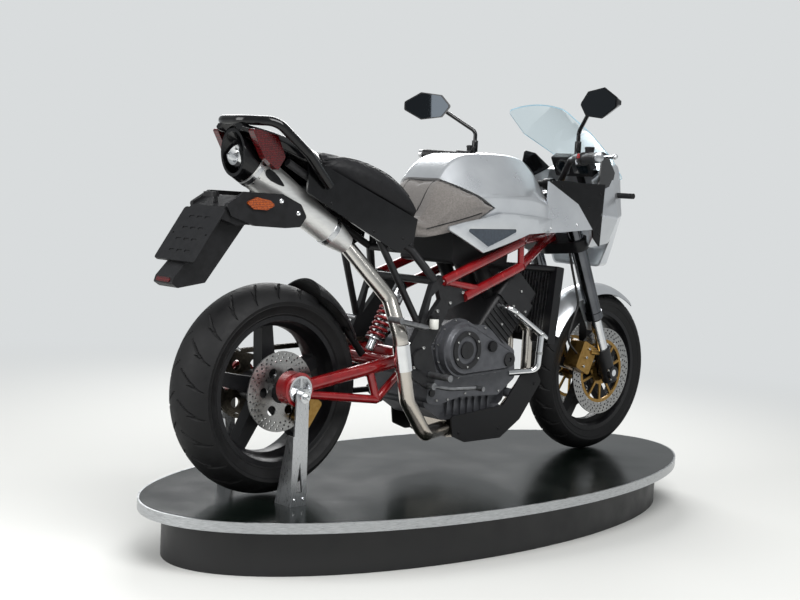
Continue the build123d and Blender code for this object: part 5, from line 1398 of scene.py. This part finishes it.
class MOTO_PG_looks(bpy.types.PropertyGroup):
    """Colours and sizes of the machine's finish"""

    paint: bpy.props.FloatVectorProperty(
        name="Body paint", description="Lighter tone of the bodywork's lacquer",
        default=linear("CACDD0"), size=4, min=0, max=1, subtype="COLOR",
    )
    frame_paint: bpy.props.FloatVectorProperty(
        name="Frame paint", description="Lighter tone of the frame's enamel",
        default=linear("8C0D13"), size=4, min=0, max=1, subtype="COLOR",
    )
    suede: bpy.props.FloatVectorProperty(
        name="Suede", description="Lighter tone of the rider's seat",
        default=linear("6C6764"), size=4, min=0, max=1, subtype="COLOR",
    )
    brakes: bpy.props.FloatVectorProperty(
        name="Brakes", description="Lighter tone of the calipers and disc carriers",
        default=linear("AA8850"), size=4, min=0, max=1, subtype="COLOR",
    )
    rear_tread: bpy.props.FloatProperty(
        name="Rear tread", description="Depth of the rear tyre's cuts",
        default=0.005, min=0, max=0.01, unit="LENGTH",
    )
    front_tread: bpy.props.FloatProperty(
        name="Front tread", description="Depth of the front tyre's cuts",
        default=0.004, min=0, max=0.01, unit="LENGTH",
    )


class MOTO_PG_stage(bpy.types.PropertyGroup):
    """Choices for the stage"""

    lens: bpy.props.FloatProperty(
        name="Lens", description="Focal length on a 36 mm wide sensor",
        default=60.07, min=10, max=200, subtype="DISTANCE_CAMERA",
    )
    light: bpy.props.FloatProperty(
        name="Light", description="Level of all the studio lights",
        default=1.0, min=0.1, max=10, subtype="FACTOR",
    )


class MOTO_OT_stage(bpy.types.Operator):
    """Adds the floor, the studio light and the camera"""

    bl_idname = "moto.stage"
    bl_label = "Stage"

    def execute(self, context):
        settings = context.scene.moto_stage
        mesh = bpy.data.meshes.new("studio floor")
        mesh.from_pydata([(-30, -30, 0), (30, -30, 0), (30, 30, 0), (-30, 30, 0)], [], [(0, 1, 2, 3)])
        mesh.materials.append(pale_floor(BACKGROUND))
        floor = bpy.data.objects.new("studio floor", mesh)
        context.collection.objects.link(floor)
        for name, place, size, power in (
            ("key", (-1.2, -2.6, 3.6), (3.2, 2.0), 190), ("side", (-3.4, 0.6, 2.0), (1.6, 2.6), 70),
            ("back", (2.4, 3.0, 3.0), (3.0, 2.0), 150),
        ):
            data = bpy.data.lights.new(name, "AREA")
            data.shape = "RECTANGLE"
            data.size, data.size_y = size
            data.energy = power * settings.light
            lamp = bpy.data.objects.new(name, data)
            context.collection.objects.link(lamp)
            lamp.location = place
            lamp.rotation_euler = (Vector((0, 0, 0.7)) - Vector(place)).to_track_quat("-Z", "Y").to_euler()
        context.scene.world = pale_world(BACKGROUND, 0.55 * settings.light)
        data = bpy.data.cameras.new("photo view")
        data.sensor_fit = "HORIZONTAL"
        data.sensor_width = 36
        data.lens = settings.lens
        camera = bpy.data.objects.new("photo view", data)
        context.collection.objects.link(camera)
        view_from_photo(camera)
        context.scene.camera = camera
        context.scene.view_settings.view_transform = "Standard"
        return {"FINISHED"}


class MOTO_PT_panel(bpy.types.Panel):
    """Buttons for each step"""

    bl_label = "Motorcycle"
    bl_idname = "MOTO_PT_panel"
    bl_space_type = "VIEW_3D"
    bl_region_type = "UI"
    bl_category = "Motorcycle"

    def draw(self, context):
        for group in (context.scene.moto_looks, context.scene.moto_stage):
            for name in type(group).__annotations__:
                self.layout.prop(group, name)
        for step in STEPS:
            self.layout.operator(step.bl_idname)


STEPS = (
    MOTO_OT_finishes, MOTO_OT_wheels, MOTO_OT_chain, MOTO_OT_seats, MOTO_OT_exhaust, MOTO_OT_engine,
    MOTO_OT_suspension, MOTO_OT_cockpit, MOTO_OT_lamps, MOTO_OT_fasteners, MOTO_OT_stage,
)
CLASSES = (MOTO_PG_looks, MOTO_PG_stage, *STEPS, MOTO_PT_panel)


def register():
    for cls in CLASSES:
        bpy.utils.register_class(cls)
    bpy.types.Scene.moto_looks = bpy.props.PointerProperty(type=MOTO_PG_looks)
    bpy.types.Scene.moto_stage = bpy.props.PointerProperty(type=MOTO_PG_stage)


def unregister():
    del bpy.types.Scene.moto_looks
    del bpy.types.Scene.moto_stage
    for cls in reversed(CLASSES):
        bpy.utils.unregister_class(cls)


def main():
    """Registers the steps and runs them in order."""
    register()
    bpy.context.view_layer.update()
    bpy.ops.moto.finishes()
    bpy.ops.moto.wheels()
    bpy.ops.moto.chain()
    bpy.ops.moto.seats()
    bpy.ops.moto.exhaust()
    bpy.ops.moto.engine()
    bpy.ops.moto.suspension()
    bpy.ops.moto.cockpit()
    bpy.ops.moto.lamps()
    bpy.ops.moto.fasteners()
    bpy.ops.moto.stage()


if __name__ == "__main__":
    main()
